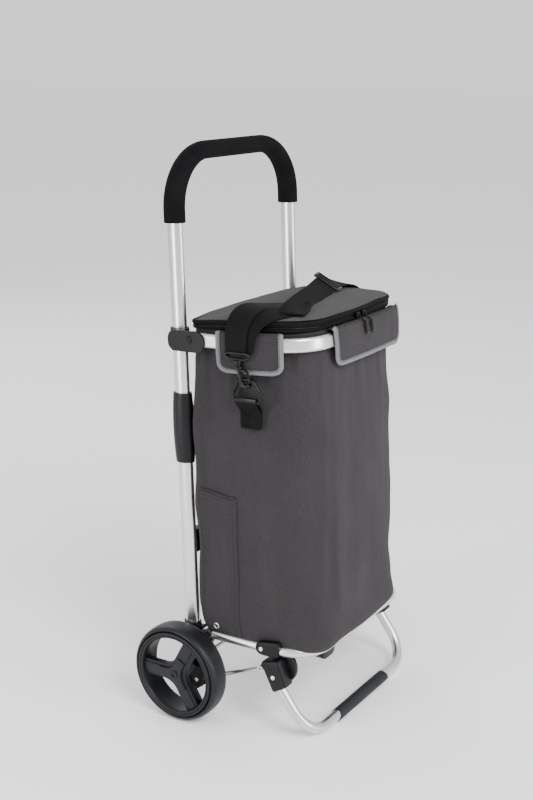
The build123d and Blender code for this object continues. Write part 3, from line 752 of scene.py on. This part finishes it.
# Lets the cloth hang between the hoop and the platform, then keeps it near its pattern
def drape(made):
    inverse = standing.inverted()
    rest = [vert.co.copy() for vert in made.data.vertices]
    heights = [(inverse @ spot).z for spot in rest]
    pins = made.vertex_groups.new(name="pins")
    hemPins, neckPins = bag["pinned"]
    for index, z in enumerate(heights):
        pins.add([index], 1 if z > neckPins or z < hemPins else 0, "REPLACE")
    cloth = made.modifiers.new("Hang", "CLOTH")
    for key, value in bag["cloth"].items():
        setattr(cloth.settings, key, value)
    cloth.settings.vertex_group_mass = "pins"
    cloth.collision_settings.use_collision = False
    scene = bpy.context.scene
    for step in range(1, bag["simFrames"] + 1):
        scene.frame_set(step)
    depsgraph = bpy.context.evaluated_depsgraph_get()
    hung = made.evaluated_get(depsgraph).to_mesh()
    places = []
    for start, z, vert in zip(rest, heights, hung.vertices):
        move = vert.co - start
        free = rampUp(z, *bag["freeFoot"]) * rampDown(z, *bag["freeTop"])
        move *= free * min(1, bag["reach"] / max(move.length, 0.000001))
        places.append(start + move)
    made.evaluated_get(depsgraph).to_mesh_clear()
    made.modifiers.remove(cloth)
    scene.frame_set(1)
    for vert, spot in zip(made.data.vertices, places):
        vert.co = spot


bagBody = buildBag()
print("bag hung")


# Short thread dashes along a line of (point, outward) pairs
def stitchRow(points, length=3.0, gap=1.8, thickness=0.45):
    row = bmesh.new()
    travelled, nextStart = 0.0, 0.0
    for (point, outward), (after, _) in zip(points, points[1:]):
        run = after - point
        span = run.length
        while span and nextStart < travelled + span:
            share = (nextStart - travelled) / span
            middle = point + run * min(1, share + length / 2 / span)
            ahead = run.normalized()
            dash = box((length, 0.9, thickness), (0, 0, 0))
            side = outward.cross(ahead).normalized()
            bmesh.ops.transform(dash, matrix=Matrix((ahead, side, outward)).transposed().to_4x4(),
                                verts=dash.verts)
            bmesh.ops.translate(dash, vec=middle + outward * 0.25, verts=dash.verts)
            join(row, dash)
            nextStart += length + gap
        travelled += span
    return row


def outwardAt(distance):
    return (edgeAt(distance, -1, 0) - edgeAt(distance, 0, 0)).normalized()


# Hoop flaps: where each runs round the bag, how its ends slant in, and how far its far end stands off
flaps = {
    "left": {"span": (235, 344), "slant": (0, 0), "foot": 521.5, "flare": 0},
    "front": {"span": (428, 650), "slant": (9, 2), "foot": 524, "flare": 4.5},
    "right": {"span": (girth - 344, girth - 235), "slant": (0, 0), "foot": 521.5, "flare": 0},
}
flap = {"top": 583.5, "columns": 44, "rows": 30, "overHoop": 0.2, "corner": 16, "neckInset": 6.6,
        "outside": 7.6, "lift": 1.6, "thick": 0.0016, "ripple": (26, 30, 0.8), "tapeStarts": 5,
        # the tape's section as (in from the border, out from the cloth)
        "tape": ((-1.2, 0), (-0.6, 1.5), (1.5, 1.9), (6.4, 1.5), (6.9, 0.4), (6.4, -1.0), (1.5, -1.3),
                 (-0.6, -1.1)), "thread": (5.2, 1.6)}


# One row of a flap: over the top of the hoop first, then down its outside to round corners
def flapRow(shape, share):
    hang = flap["top"] - shape["foot"]
    lift, outside = flap["lift"], flap["outside"]
    if share < flap["overHoop"]:
        step = share / flap["overHoop"]
        drop = 0
        inset = flap["neckInset"] - step * (flap["neckInset"] + outside)
        z = flap["top"] + lift + lift * math.sin(math.pi * step)
    else:
        step = (share - flap["overHoop"]) / (1 - flap["overHoop"])
        drop = hang * step
        inset = -outside - math.sin(math.pi * step) + 2.4 * step
        z = flap["top"] + lift - drop
    lean = drop / hang
    start = shape["span"][0] + shape["slant"][0] * lean
    end = shape["span"][1] - shape["slant"][1] * lean
    left = hang - drop
    if left < flap["corner"]:
        pull = flap["corner"] - math.sqrt(max(0, flap["corner"] ** 2 - (flap["corner"] - left) ** 2))
        start += pull
        end -= pull
    row = []
    for column in range(flap["columns"] + 1):
        across = column / flap["columns"]
        distance = start + (end - start) * across
        spread, fall, depth = flap["ripple"]
        ripple = drift(distance / spread, z / fall, 5.5) * depth * lean
        ripple += shape["flare"] * across ** 6 * lean ** 0.5
        row.append(edgeAt(distance, inset - ripple, z))
    return row


# The tape folded over a flap's border, and the line of its stitches
def bindBorder(border):
    path = border[flap["tapeStarts"]:-flap["tapeStarts"]]
    middle = sum(path, Vector()) / len(path)
    threadIn, threadOut = flap["thread"]
    tape, line = [], []
    for index, point in enumerate(path):
        ahead = heading(path, index)
        flat = Vector((point.x, point.y + 100, 0)).normalized()
        inward = flat.cross(ahead).normalized()
        if inward.dot(middle - point) < 0:
            inward = -inward
        outward = ahead.cross(inward).normalized()
        if outward.dot(flat) < 0:
            outward = -outward
        tape.append([point + inward * a + outward * b for a, b in flap["tape"]])
        line.append((point + inward * threadIn + outward * threadOut, outward))
    return loft(tape, capEnds=(True, True))[0], line


# A cloth tongue from the neck over the hoop, its border bound in grey tape
def buildFlap(name, shape):
    rings = [flapRow(shape, row / flap["rows"]) for row in range(flap["rows"] + 1)]
    mesh, loops = loft(rings, closed=False)
    border = [ring[0] for ring in loops] + loops[-1][1:-1] + [ring[-1] for ring in reversed(loops)]
    borderPoints = [vert.co.copy() for vert in border]
    made = piece(f"hoopFlap_{name}", mesh, "bagCloth", "handle_frame",
                 ("hoop_flaps",), sharp=180,
                 modifiers=(("SOLIDIFY", {"thickness": flap["thick"], "offset": 0}),
                            ("SUBSURF", {"levels": 1, "render_levels": 1})))
    settle(made)
    tape, line = bindBorder(borderPoints)
    bound = piece(f"flapTape_{name}", tape, "binding", "handle_frame", sharp=60)
    threads = piece(f"flapStitch_{name}", stitchRow(line), "stitch", "handle_frame")
    return [made, bound, threads]


softPieces = [bagBody]
for name, shape in flaps.items():
    softPieces += buildFlap(name, shape)
print("flaps made")

# Zip band, lid and zip; rings are (inset, height), and the band's also say how much they follow the sag
lid = {"zipInset": 5.6, "crown": 10, "inset": 6.0, "edge": 601.4, "rings": 14, "columns": 150,
       "band": ((8.4, 585, 0), (7.2, 586.6, 0.2), (5.6, 587.6, 0.4), (4.4, 589.8, 0.7), (5.0, 592.4, 0.9),
                (6.0, 593, 0.9)),
       "upper": ((6.0, 595.2), (5.0, 595.9), (4.2, 597.8), (5.2, 599.8)), "tapeThick": 0.0012,
       "coil": (594.1, 1.1, 300), "nib": (1.3, 2.6, 1.5), "nibs": 420, "piping": (2.7, 240),
       "middleY": -122, "thick": 0.0016, "half": (172, 128, 108), "strapDent": (-122, 22, -2.0),
       "rearSag": (176, 50, -4.6), "frontRise": (588, 46, 2.4)}


# How the lid's edge rises and dips on its way round
def sag(distance):
    shorter = min(distance, girth - distance)
    middle, width, rise = lid["rearSag"]
    rear = rise * hump(shorter, middle, width)
    middle, width, rise = lid["frontRise"]
    front = rise * hump(distance, middle, width)
    return rear + front + 1.2 * drift(distance / 60, 4.2, 0)


# The lid's soft crown above its edge, dented a little under the strap
def lidHeight(x, y):
    halfWidth, back, halfDepth = lid["half"]
    sideways = min(1, abs(x) / halfWidth)
    deep = min(1, abs(y + back) / halfDepth)
    swell = (1 - sideways ** 2.6) * (1 - deep ** 2.6)
    ripple = drift(x / 60, y / 45, 2.2) * 1.6
    middle, width, depth = lid["strapDent"]
    dent = depth * hump(y, middle, width)
    return lid["crown"] * max(0, swell) ** 0.55 + (ripple + dent) * max(0, swell)


# A closed ring round the lid's edge, which follows the sag by a share
def lidRing(columns, inset, z, share=1):
    return planRing(columns, lambda walk: inset, lambda walk: z + share * sag(walk))


# The coil of the zip, as close small nibs on a cord
def zipCoil():
    height, radius, steps = lid["coil"]
    coil = pipe(lidRing(steps, lid["zipInset"] - 0.2, height), radius, closed=True, sides=6)
    upright = Vector((0, 0, 1))
    for index in range(lid["nibs"]):
        distance = girth * index / lid["nibs"]
        nib = box(lid["nib"], (0, 0, 0))
        outward = outwardAt(distance)
        turn = Matrix((outward.cross(upright), outward, upright)).transposed().to_4x4()
        bmesh.ops.transform(nib, matrix=turn, verts=nib.verts)
        seat = edgeAt(distance, lid["zipInset"] - 0.4, height + sag(distance))
        bmesh.ops.translate(nib, vec=seat, verts=nib.verts)
        join(coil, nib)
    return coil


# The crowned panel, in rings that close on its middle
def lidPanel():
    rings = []
    centre = Vector((0, lid["middleY"], lid["edge"] + 0.4))
    for ring in range(lid["rings"] + 1):
        points = []
        for rim in lidRing(lid["columns"], lid["inset"], lid["edge"] + 0.4):
            point = rim.lerp(centre, ring / lid["rings"] * 0.985)
            point.z += lidHeight(point.x, point.y)
            points.append(point)
        rings.append(points)
    panel = loft(rings, capEnds=(False, True))[0]
    fillEnd(panel)
    return panel


def buildLid():
    columns = lid["columns"]
    tape = (("SOLIDIFY", {"thickness": lid["tapeThick"], "offset": -1}),)
    panelSkin = (("SOLIDIFY", {"thickness": lid["thick"], "offset": -1}),
                 ("SUBSURF", {"levels": 1, "render_levels": 1}))
    lower = loft([lidRing(columns, *ring) for ring in lid["band"]])[0]
    upper = loft([lidRing(columns, *ring) for ring in lid["upper"]])[0]
    pipingRadius, pipingSteps = lid["piping"]
    piping = pipe(lidRing(pipingSteps, lid["zipInset"] - 0.2, lid["edge"]), pipingRadius, closed=True)
    pieces = [
        piece("zipTapeLower", lower, "zipTape", "handle_frame", ("zip_band",), sharp=70,
              modifiers=tape),
        piece("zipCoil", zipCoil(), "blackEnamel", "handle_frame", sharp=30),
        piece("zipTapeUpper", upper, "zipTape", "lid_body", sharp=70, modifiers=tape),
        piece("lidPiping", piping, "zipTape", "lid_body", sharp=180),
        piece("lidPanel", lidPanel(), "lidCloth", "lid_body", ("lid",), sharp=180,
              modifiers=panelSkin)]
    return [settle(made) for made in pieces]


softPieces += buildLid()
print("lid made")

# Side pockets, sewn flat on the bag's straight sides
pocket = {"back": -33, "front": -104, "topBack": 320, "topFront": 313, "foot": 70, "stand": 1.4,
          "columns": 16, "rows": 46, "thick": 0.0012, "frontSeams": (3, 9), "mouthSeams": (5, 11), "hem": 1.3,
          "eyelet": (-56.5, 82.5), "eyeletRadius": 4.1, "eyeletBead": (1.1, 1.6), "side": 178}


# The bag's outer surface as a search tree, so that what is sewn on it lies on it
skinSpots = [standing.inverted() @ vert.co for vert in bagBody.data.vertices]
bagSkin = BVHTree.FromPolygons(skinSpots, [face.vertices[:] for face in bagBody.data.polygons])


# The spot on one side of the bag at a depth and a height, lifted off it
def onSkin(sign, y, z, lift):
    hit = bagSkin.ray_cast(Vector((sign * 260, y, z)), Vector((-sign, 0, 0)))[0]
    return Vector((hit.x + sign * lift, y, z)) if hit else Vector((sign * pocket["side"], y, z))


def pocketTop(y):
    return pocket["topBack"] + (y - pocket["back"]) * 0.1


def pocketPanel(sign):
    rings = []
    for row in range(pocket["rows"] + 1):
        ring = []
        for column in range(pocket["columns"] + 1):
            share = column / pocket["columns"]
            y = pocket["back"] + (pocket["front"] - pocket["back"]) * share
            top = pocket["topBack"] + (pocket["topFront"] - pocket["topBack"]) * share
            z = top + (pocket["foot"] - top) * row / pocket["rows"]
            swell = math.sin(math.pi * share) * math.exp(-row / 16)
            ring.append(onSkin(sign, y, z, pocket["stand"] * (1 + swell)))
        rings.append(ring)
    return loft(rings, closed=False)[0]


# Two seams down the front edge and two along the mouth
def pocketThreads(sign):
    outward = Vector((sign, 0, 0))
    threads = bmesh.new()
    for inside in pocket["frontSeams"]:
        y = pocket["front"] + inside
        line = [(onSkin(sign, y, z, 2 * pocket["stand"]), outward) for z in range(74, 312, 6)]
        join(threads, stitchRow(line))
    for drop in pocket["mouthSeams"]:
        line = [(onSkin(sign, y, pocketTop(y) - drop, pocket["stand"] + 2.6), outward)
                for y in range(-36, -102, -6)]
        join(threads, stitchRow(line))
    return threads


def pocketEyelet(sign):
    y, z = pocket["eyelet"]
    deep, wide = pocket["eyeletBead"]
    seat = onSkin(sign, y, z, pocket["stand"] + 1.6)
    bead = [2 * math.pi * step / 10 for step in range(10)]
    rise = z + pocket["eyeletRadius"]
    profile = [(seat.x + sign * deep * math.sin(angle), y, rise + wide * math.cos(angle)) for angle in bead]
    return turned(profile, seat, (1, 0, 0), 28)


def buildPocket(hand, sign):
    skin = (("SOLIDIFY", {"thickness": pocket["thick"], "offset": sign}),)
    mouth = [onSkin(sign, y, pocketTop(y), pocket["stand"] + 1) for y in range(-33, -105, -4)]
    return [
        settle(piece(f"pocketPanel_{hand}", pocketPanel(sign), "bagCloth", "handle_frame",
                     ("side_pockets",), sharp=180, modifiers=skin)),
        piece(f"pocketStitch_{hand}", pocketThreads(sign), "stitch", "handle_frame"),
        piece(f"pocketHem_{hand}", pipe(mouth, pocket["hem"], sides=8), "bagCloth", "handle_frame",
              sharp=180),
        piece(f"eyeletRing_{hand}", pocketEyelet(sign), "nickel", "handle_frame",
              ("pocket_eyelets",), sharp=60)]


for hand, sign in sides:
    softPieces += buildPocket(hand, sign)
print("pockets made")

# Webbing, rings, hooks and adjuster
strap = {"width": 39, "thick": 0.0016, "columns": 4}
strapRoute = (  # x, y, z of the middle of the strap, then its roll in degrees
    (-189.5, -121, 557, 0), (-190.5, -121, 566, 0), (-191.5, -122, 581, 3), (-190, -124, 597, 6),
    (-183, -126, 611, 10), (-168, -128, 621, 12), (-146, -129, 624, 10), (-120, -131, 620.5, 6),
    (-96, -136, 617, 4), (-76, -143, 615, 4), (-62, -150, 613.5, 8), (-60, -157, 611.5, 10),
    (-72, -165, 610.5, 8), (-94, -174, 610, 4), (-116, -182, 610, 0), (-130, -186, 611, 0),
    (-131, -185, 614, 10), (-118, -180, 616, 22), (-92, -173, 617, 30), (-60, -164, 618, 34),
    (-26, -155, 619, 34), (8, -146, 620, 34), (40, -136, 621.5, 34), (68, -128, 623.5, 34),
    (92, -121, 624.5, 32), (114, -116, 622.5, 26), (136, -112, 618, 14), (158, -112, 613, 4),
    (177, -115, 603, 0), (188.5, -119, 589, 0), (191, -121, 574, 0), (190, -121, 557, 0))


# Webbing along a route, its flat face turned outwards and then rolled
def ribbon(route):
    points = [Vector(spot[:3]) for spot in route]
    rings = []
    for index, spot in enumerate(route):
        ahead = heading(points, index)
        wide = Vector((0, -1, 0))
        wide = (wide - ahead * wide.dot(ahead)).normalized()
        wide = Matrix.Rotation(math.radians(spot[3]), 3, ahead) @ wide
        shares = [column / strap["columns"] - 0.5 for column in range(strap["columns"] + 1)]
        rings.append([points[index] + wide * strap["width"] * share for share in shares])
    return loft(rings, closed=False)[0]


def web(name, route, body, replaces=()):
    made = piece(name, ribbon(route), "webbing", body, replaces, sharp=180,
                 modifiers=(("SUBSURF", {"levels": 2, "render_levels": 2}),
                            ("SOLIDIFY", {"thickness": strap["thick"], "offset": 0})))
    return settle(made)


softPieces.append(web("lidStrap", strapRoute, "lid_body", ("lid_strap",)))
# the strap's doubled end, which comes back up inside the left hook
tailRoute = ((-187, -130, 558, 0), (-188, -134, 575, 0), (-187, -139, 592, 4), (-180, -146, 605, 10),
             (-166, -154, 613, 16), (-148, -162, 615, 18), (-128, -169, 614, 16), (-108, -174, 613, 12))
softPieces.append(web("strapTail", tailRoute, "lid_body"))


# A tab's webbing lies on the bag at skin heights, then goes over the ring's bar and back down
tab = {"y": -136, "up": (434, 440, 450, 460, 468), "down": (464, 452, 441, 434), "lifts": (2.2, 4.2, 5.2),
       "overBar": ((182.5, 476), (184, 484), (187.4, 487), (190, 484), (189.2, 474)),
       "seam": ((-14, 438), (14, 438), (14, 464), (-14, 464)),
       "seamRuns": ((0, 1), (1, 2), (2, 3), (3, 0), (0, 2), (1, 3))}
ring = {"x": 186, "wire": 3.4, "lean": 0.03, "foot": 480, "bar": ((5, 40, 8), 188.2, 483.5, 2),
        "outline": ((-23, 480), (23, 480), (26, 493), (13, 516), (-13, 516), (-26, 493))}


def tabRoute(sign):
    under, over, threadLift = tab["lifts"]
    lying = [onSkin(sign, tab["y"], z, under) for z in tab["up"]]
    turn = [Vector((sign * x, tab["y"], z)) for x, z in tab["overBar"]]
    back = [onSkin(sign, tab["y"], z, over) for z in tab["down"]]
    return [(*spot, 0) for spot in lying + turn + back]


# A boxed cross of thread
def tabThreads(sign):
    outward = Vector((sign, 0, 0))
    corners = [onSkin(sign, tab["y"] + y, z, tab["lifts"][2]) for y, z in tab["seam"]]
    threads = bmesh.new()
    for first, last in tab["seamRuns"]:
        join(threads, stitchRow([(corners[first], outward), (corners[last], outward)], 2.2, 1.0))
    return threads


# Six-sided wire ring with a flat lower bar, leaning out from the bag
def strapRing(sign):
    corners = [Vector((sign * (ring["x"] + (z - ring["foot"]) * ring["lean"]), tab["y"] + y, z))
               for y, z in ring["outline"]]
    made = wire(bentFrame(corners, 5, 0.12), ring["wire"], True)
    size, barX, barZ, rounding = ring["bar"]
    return join(made, box(size, (sign * barX, tab["y"], barZ), rounding, 3))


def buildTab(hand, sign):
    return [
        web(f"strapTab_{hand}", tabRoute(sign), "handle_frame", ("strap_tabs",)),
        piece(f"tabStitch_{hand}", tabThreads(sign), "zipTape", "handle_frame"),
        piece(f"strapRing_{hand}", strapRing(sign), "blackEnamel", "handle_frame",
              ("strap_rings",), sharp=60)]


# Snap hook, in (y, z) places beside the bag; the barrel's discs are radius, height, y, z, steps and edge
hook = {"x": 190, "eyeWire": 2.5, "spineWire": 4.1, "catchWire": 2.6, "gateWire": 2.1,
        "eye": ((-144, 557), (-102, 557), (-101, 550.5), (-111, 547.5), (-135, 547.5), (-145, 550.5)),
        "barrel": ((6.4, 6, -124, 544, 24, 1.2), (4.4, 6, -124.5, 539, 20, 0.6),
                   (6.2, 5, -125.5, 534.5, 24, 1.2)),
        "spine": ((-126, 534), (-127.4, 524)), "bend": (-137.5, 514.5, 8.6, 24, -150, 14),
        "catch": ((-128, 530), (-136, 531), (-142.5, 526.5)),
        "gate": ((-144.6, 511.5), (-144.6, 517), (-143.4, 522)),
        "thumb": (2.6, 9, -145.4, 518, 0.6)}


# Points of an arc in (y, z), in degrees from the back
def hookBend():
    y, z, radius, start, end, steps = hook["bend"]
    angles = [math.radians(start + (end - start) * step / steps) for step in range(steps + 1)]
    return [(y + radius * math.cos(angle), z + radius * math.sin(angle)) for angle in angles]


def buildHook(hand, sign):
    x = sign * hook["x"]

    def beside(spots):
        return [Vector((x, y, z)) for y, z in spots]

    body = wire(bentFrame(beside(hook["eye"]), 4, 0.1), hook["eyeWire"], True)
    for radius, height, y, z, steps, edge in hook["barrel"]:
        join(body, disc(radius, height, (x, y, z), "z", steps, edge))
    join(body, wire(beside(hook["spine"]) + beside(hookBend()), hook["spineWire"]))
    join(body, wire(beside(hook["catch"]), hook["catchWire"]))
    gate = wire(beside(hook["gate"]), hook["gateWire"])
    radius, height, y, z, edge = hook["thumb"]
    join(gate, disc(radius, height, (x, y, z), "x", 16, edge))
    return [piece(f"snapHook_{hand}", body, "blackEnamel", "lid_body",
                  (f"snap_hook_{hand}",), sharp=50),
            piece(f"hookGate_{hand}", gate, "blackEnamel", f"gate_{hand}",
                  (f"hook_gate_{hand}",), sharp=50)]


hardPieces = []
for hand, sign in sides:
    softPieces += buildTab(hand, sign)
    hardPieces += buildHook(hand, sign)


# Zip sliders, measured from the zip's front middle; link and pull places step out from the slider
slider = {"x": 9.5, "y": -229.5, "z": 594.2, "body": ((9, 6, 9), -4.6, 1.6),
          "bridge": ((3.4, 3, 7), -8.4, 1.2),
          "link": ((0, -9.4, -2), (0.6, -14.5, -6), (1.2, -18.6, -9)), "linkWire": 1.3,
          "pull": ((7.6, 2.2, 22), 0.9), "grips": (-7, -2, 3), "grip": ((5.2, 3.2, 2.2), 0.7), "tilt": -17,
          "pullAt": (4.6, -19.8, -19.5)}


# A zip slider, its bridge and a long pull that hangs over the flap
def buildSlider(hand, sign):
    seat = Vector((sign * slider["x"], slider["y"], slider["z"] + sag(halfGirth + sign * slider["x"])))
    size, forward, rounding = slider["body"]
    body = box(size, seat + Vector((0, forward, 0)), rounding, 3)
    size, forward, rounding = slider["bridge"]
    join(body, box(size, seat + Vector((0, forward, 0)), rounding))
    join(body, wire([seat + Vector(step) for step in slider["link"]], slider["linkWire"]))
    size, rounding = slider["pull"]
    pull = box(size, (0, 0, 0), rounding)
    size, rounding = slider["grip"]
    for rise in slider["grips"]:
        join(pull, box(size, (0, 0, rise), rounding))
    tilt = Matrix.Rotation(math.radians(slider["tilt"]), 3, "Y")
    bmesh.ops.rotate(pull, matrix=tilt, verts=pull.verts)
    bmesh.ops.translate(pull, vec=seat + Vector(slider["pullAt"]), verts=pull.verts)
    join(body, pull)
    return piece(f"zipPull_{hand}", body, "blackEnamel", f"slider_{hand}",
                 (f"zip_slider_{hand}",), sharp=40)


for hand, sign in sides:
    hardPieces.append(buildSlider(hand, sign))

# Adjuster frame: three bars across the strap, joined by two along it
adjuster = {"crossBars": (-14, 0, 14), "crossBar": (4.4, 50, 3.4), "longBars": (-23, 23),
            "longBar": (32, 4.6, 3.4),
            "rounding": 1.4, "turns": ((33, "X"), (18, "Z")), "at": (92, -121, 625.6)}
bars = bmesh.new()
for x in adjuster["crossBars"]:
    join(bars, box(adjuster["crossBar"], (x, 0, 0), adjuster["rounding"], 3))
for y in adjuster["longBars"]:
    join(bars, box(adjuster["longBar"], (0, y, 0), adjuster["rounding"], 3))
for degrees, axis in adjuster["turns"]:
    bmesh.ops.rotate(bars, matrix=Matrix.Rotation(math.radians(degrees), 3, axis), verts=bars.verts)
bmesh.ops.translate(bars, vec=adjuster["at"], verts=bars.verts)
hardPieces.append(piece("strapAdjuster", bars, "blackEnamel", "lid_body",
                        ("strap_adjuster",), sharp=40))
print("strap and hardware made")

# Domed rivets: body, slot, replaced nodes and finish, then the dome's place and radius
rivets = {
    "hoopRivet": (("handle_frame", "rivet", ("hoop_rivets",), "moulding"), (188.4, -30, 569, 6.2)),
    "knuckleRivet": (("platform", "rivet", ("knuckle_rivets",), "zinc"), (178.6, -142, 59.5, 4.2)),
    "socketRivet": (("stand", "rivet", (), "zinc"), (184.7, -168, 17, 4.2)),
}
rivet = {"shankTo": 151, "flatten": 0.5, "dimple": (0.45, 3, 0.36), "shank": 0.6}
for name, ((body, slot, nodes, finish), (x, y, z, radius)) in rivets.items():
    group = bmesh.new()
    for hand, sign in sides:
        dome = bmesh.new()
        bmesh.ops.create_uvsphere(dome, u_segments=24, v_segments=12, radius=radius)
        bmesh.ops.scale(dome, vec=(rivet["flatten"], 1, 1), verts=dome.verts)
        bmesh.ops.translate(dome, vec=(sign * x, y, z), verts=dome.verts)
        join(group, dome)
        size, height, out = rivet["dimple"]
        join(group, disc(radius * size, height, (sign * (x + radius * out), y, z), "x", 20, 0.4))
        middle = sign * (x + rivet["shankTo"]) / 2
        join(group, disc(radius * rivet["shank"], abs(x - rivet["shankTo"]), (middle, y, z), "x", 20))
    hardPieces.append(piece(name, group, finish, body, nodes, sharp=40))
print("rivets made")

# Mouldings of the platform and the stand: body, replaced nodes, width across, edge radius, then the
# outline's arcs as centre (depth, height), radius, start and end in degrees
mouldings = {
    "saddle": ("platform", ("knuckle",), (153, 178), 2.2, (
        ((142, 60), 11.5, 90, 270), ((170, 53), 5, -90, -20), ((169, 69), 6, 0, 90))),
    "cheek": ("platform", (), (154, 163), 1.5, (
        ((168, 29), 31, 80, -95), ((160, 8), 8, -100, -180), ((160, 48), 6, 180, 90))),
    "socket": ("stand", ("stand_socket",), (159.5, 184), 4.2, (
        ((149.5, 36), 5, 90, 190), ((168.5, -5), 5, 200, 290), ((187, 6), 5, -60, 15),
        ((175, 41), 5.5, 20, 100))),
}


def buildMoulding(name, hand, sign):
    body, nodes, (low, high), edge, arcs = mouldings[name]
    outline = []
    for (depth, height), radius, start, end in arcs:
        steps = 10 if radius > 9 else 5
        for step in range(steps + 1):
            angle = math.radians(start + (end - start) * step / steps)
            outline.append((-(depth + radius * math.cos(angle)), height + radius * math.sin(angle)))
    mesh = slab(outline, low, high)
    ease(mesh, isFlat, edge)
    if sign < 0:
        mirrored(mesh)
    return piece(f"{name}_{hand}", mesh, "moulding", body,
                 [f"{node}_{hand}" for node in nodes], sharp=50)


for name in mouldings:
    for hand, sign in sides:
        hardPieces.append(buildMoulding(name, hand, sign))

# the base board folds up with the platform, between the bag and the front tube
solidBoard = frame["nodes"]["base_board"]
board = bmesh.new()
board.from_mesh(solidBoard.data)
bmesh.ops.remove_doubles(board, verts=board.verts, dist=0.00001)
bmesh.ops.transform(board, matrix=solidBoard.matrix_world, verts=board.verts)
dress("baseBoard", board, "moulding", "platform", ("base_board",))

# clip under the front tube, a tab with round lower corners
clip = {"size": (40, 17, 25), "at": (-106, -221, 49), "corner": 11, "edge": 1.4, "cornersBelow": 40}
clipMesh = box(clip["size"], clip["at"])
ease(clipMesh, lambda edge: isFlat(edge) and all(vert.co.z < clip["cornersBelow"] for vert in edge.verts),
     clip["corner"], 8)
ease(clipMesh, isRim, clip["edge"])
hardPieces.append(piece("frontClip", clipMesh, "moulding", "platform",
                        ("front_clip",), sharp=50))
print("mouldings made")

# Stand sleeve, its ends cut on a curve that is shorter on top
sleeve = {"half": 89.5, "radius": 10.4, "endRadius": 9.3, "steps": 40, "sides": 32, "trim": 9,
          "lastStation": 0.985}


def buildSleeve():
    low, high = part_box("stand_sleeve")
    centre = standing.inverted() @ ((Vector(low) + Vector(high)) / 2)
    last, steps = sleeve["lastStation"], sleeve["steps"]
    stations = [-1] + [-last + 2 * last * step / steps for step in range(steps + 1)] + [1]
    rings = []
    for station in stations:
        radius = sleeve["endRadius"] if abs(station) == 1 else sleeve["radius"]
        ring = []
        for side in range(sleeve["sides"]):
            angle = 2 * math.pi * side / sleeve["sides"]
            trim = sleeve["trim"] * (1 + math.sin(angle)) / 2 * abs(station) ** 6
            x = station * sleeve["half"] - math.copysign(trim, station)
            ring.append(Vector((x, centre.y + radius * math.cos(angle), centre.z + radius * math.sin(angle))))
        rings.append(ring)
    return piece("standGrip", loft(rings)[0], "softRubber", "stand",
                 ("stand_sleeve",), sharp=50)


hardPieces.append(buildSleeve())

# The bag, the soft pieces on it and the hardware that hangs on it each get a mesh of their own
fold = {"anchor": (0, -15.5, 300), "keep": 0.02,
        "hardware": ("snapHook", "hookGate", "zipPull", "strapAdjuster")}
hanging = [made for made in hardPieces if made.name.split("_")[0] in fold["hardware"]]
for made in softPieces + hanging:
    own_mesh(made)
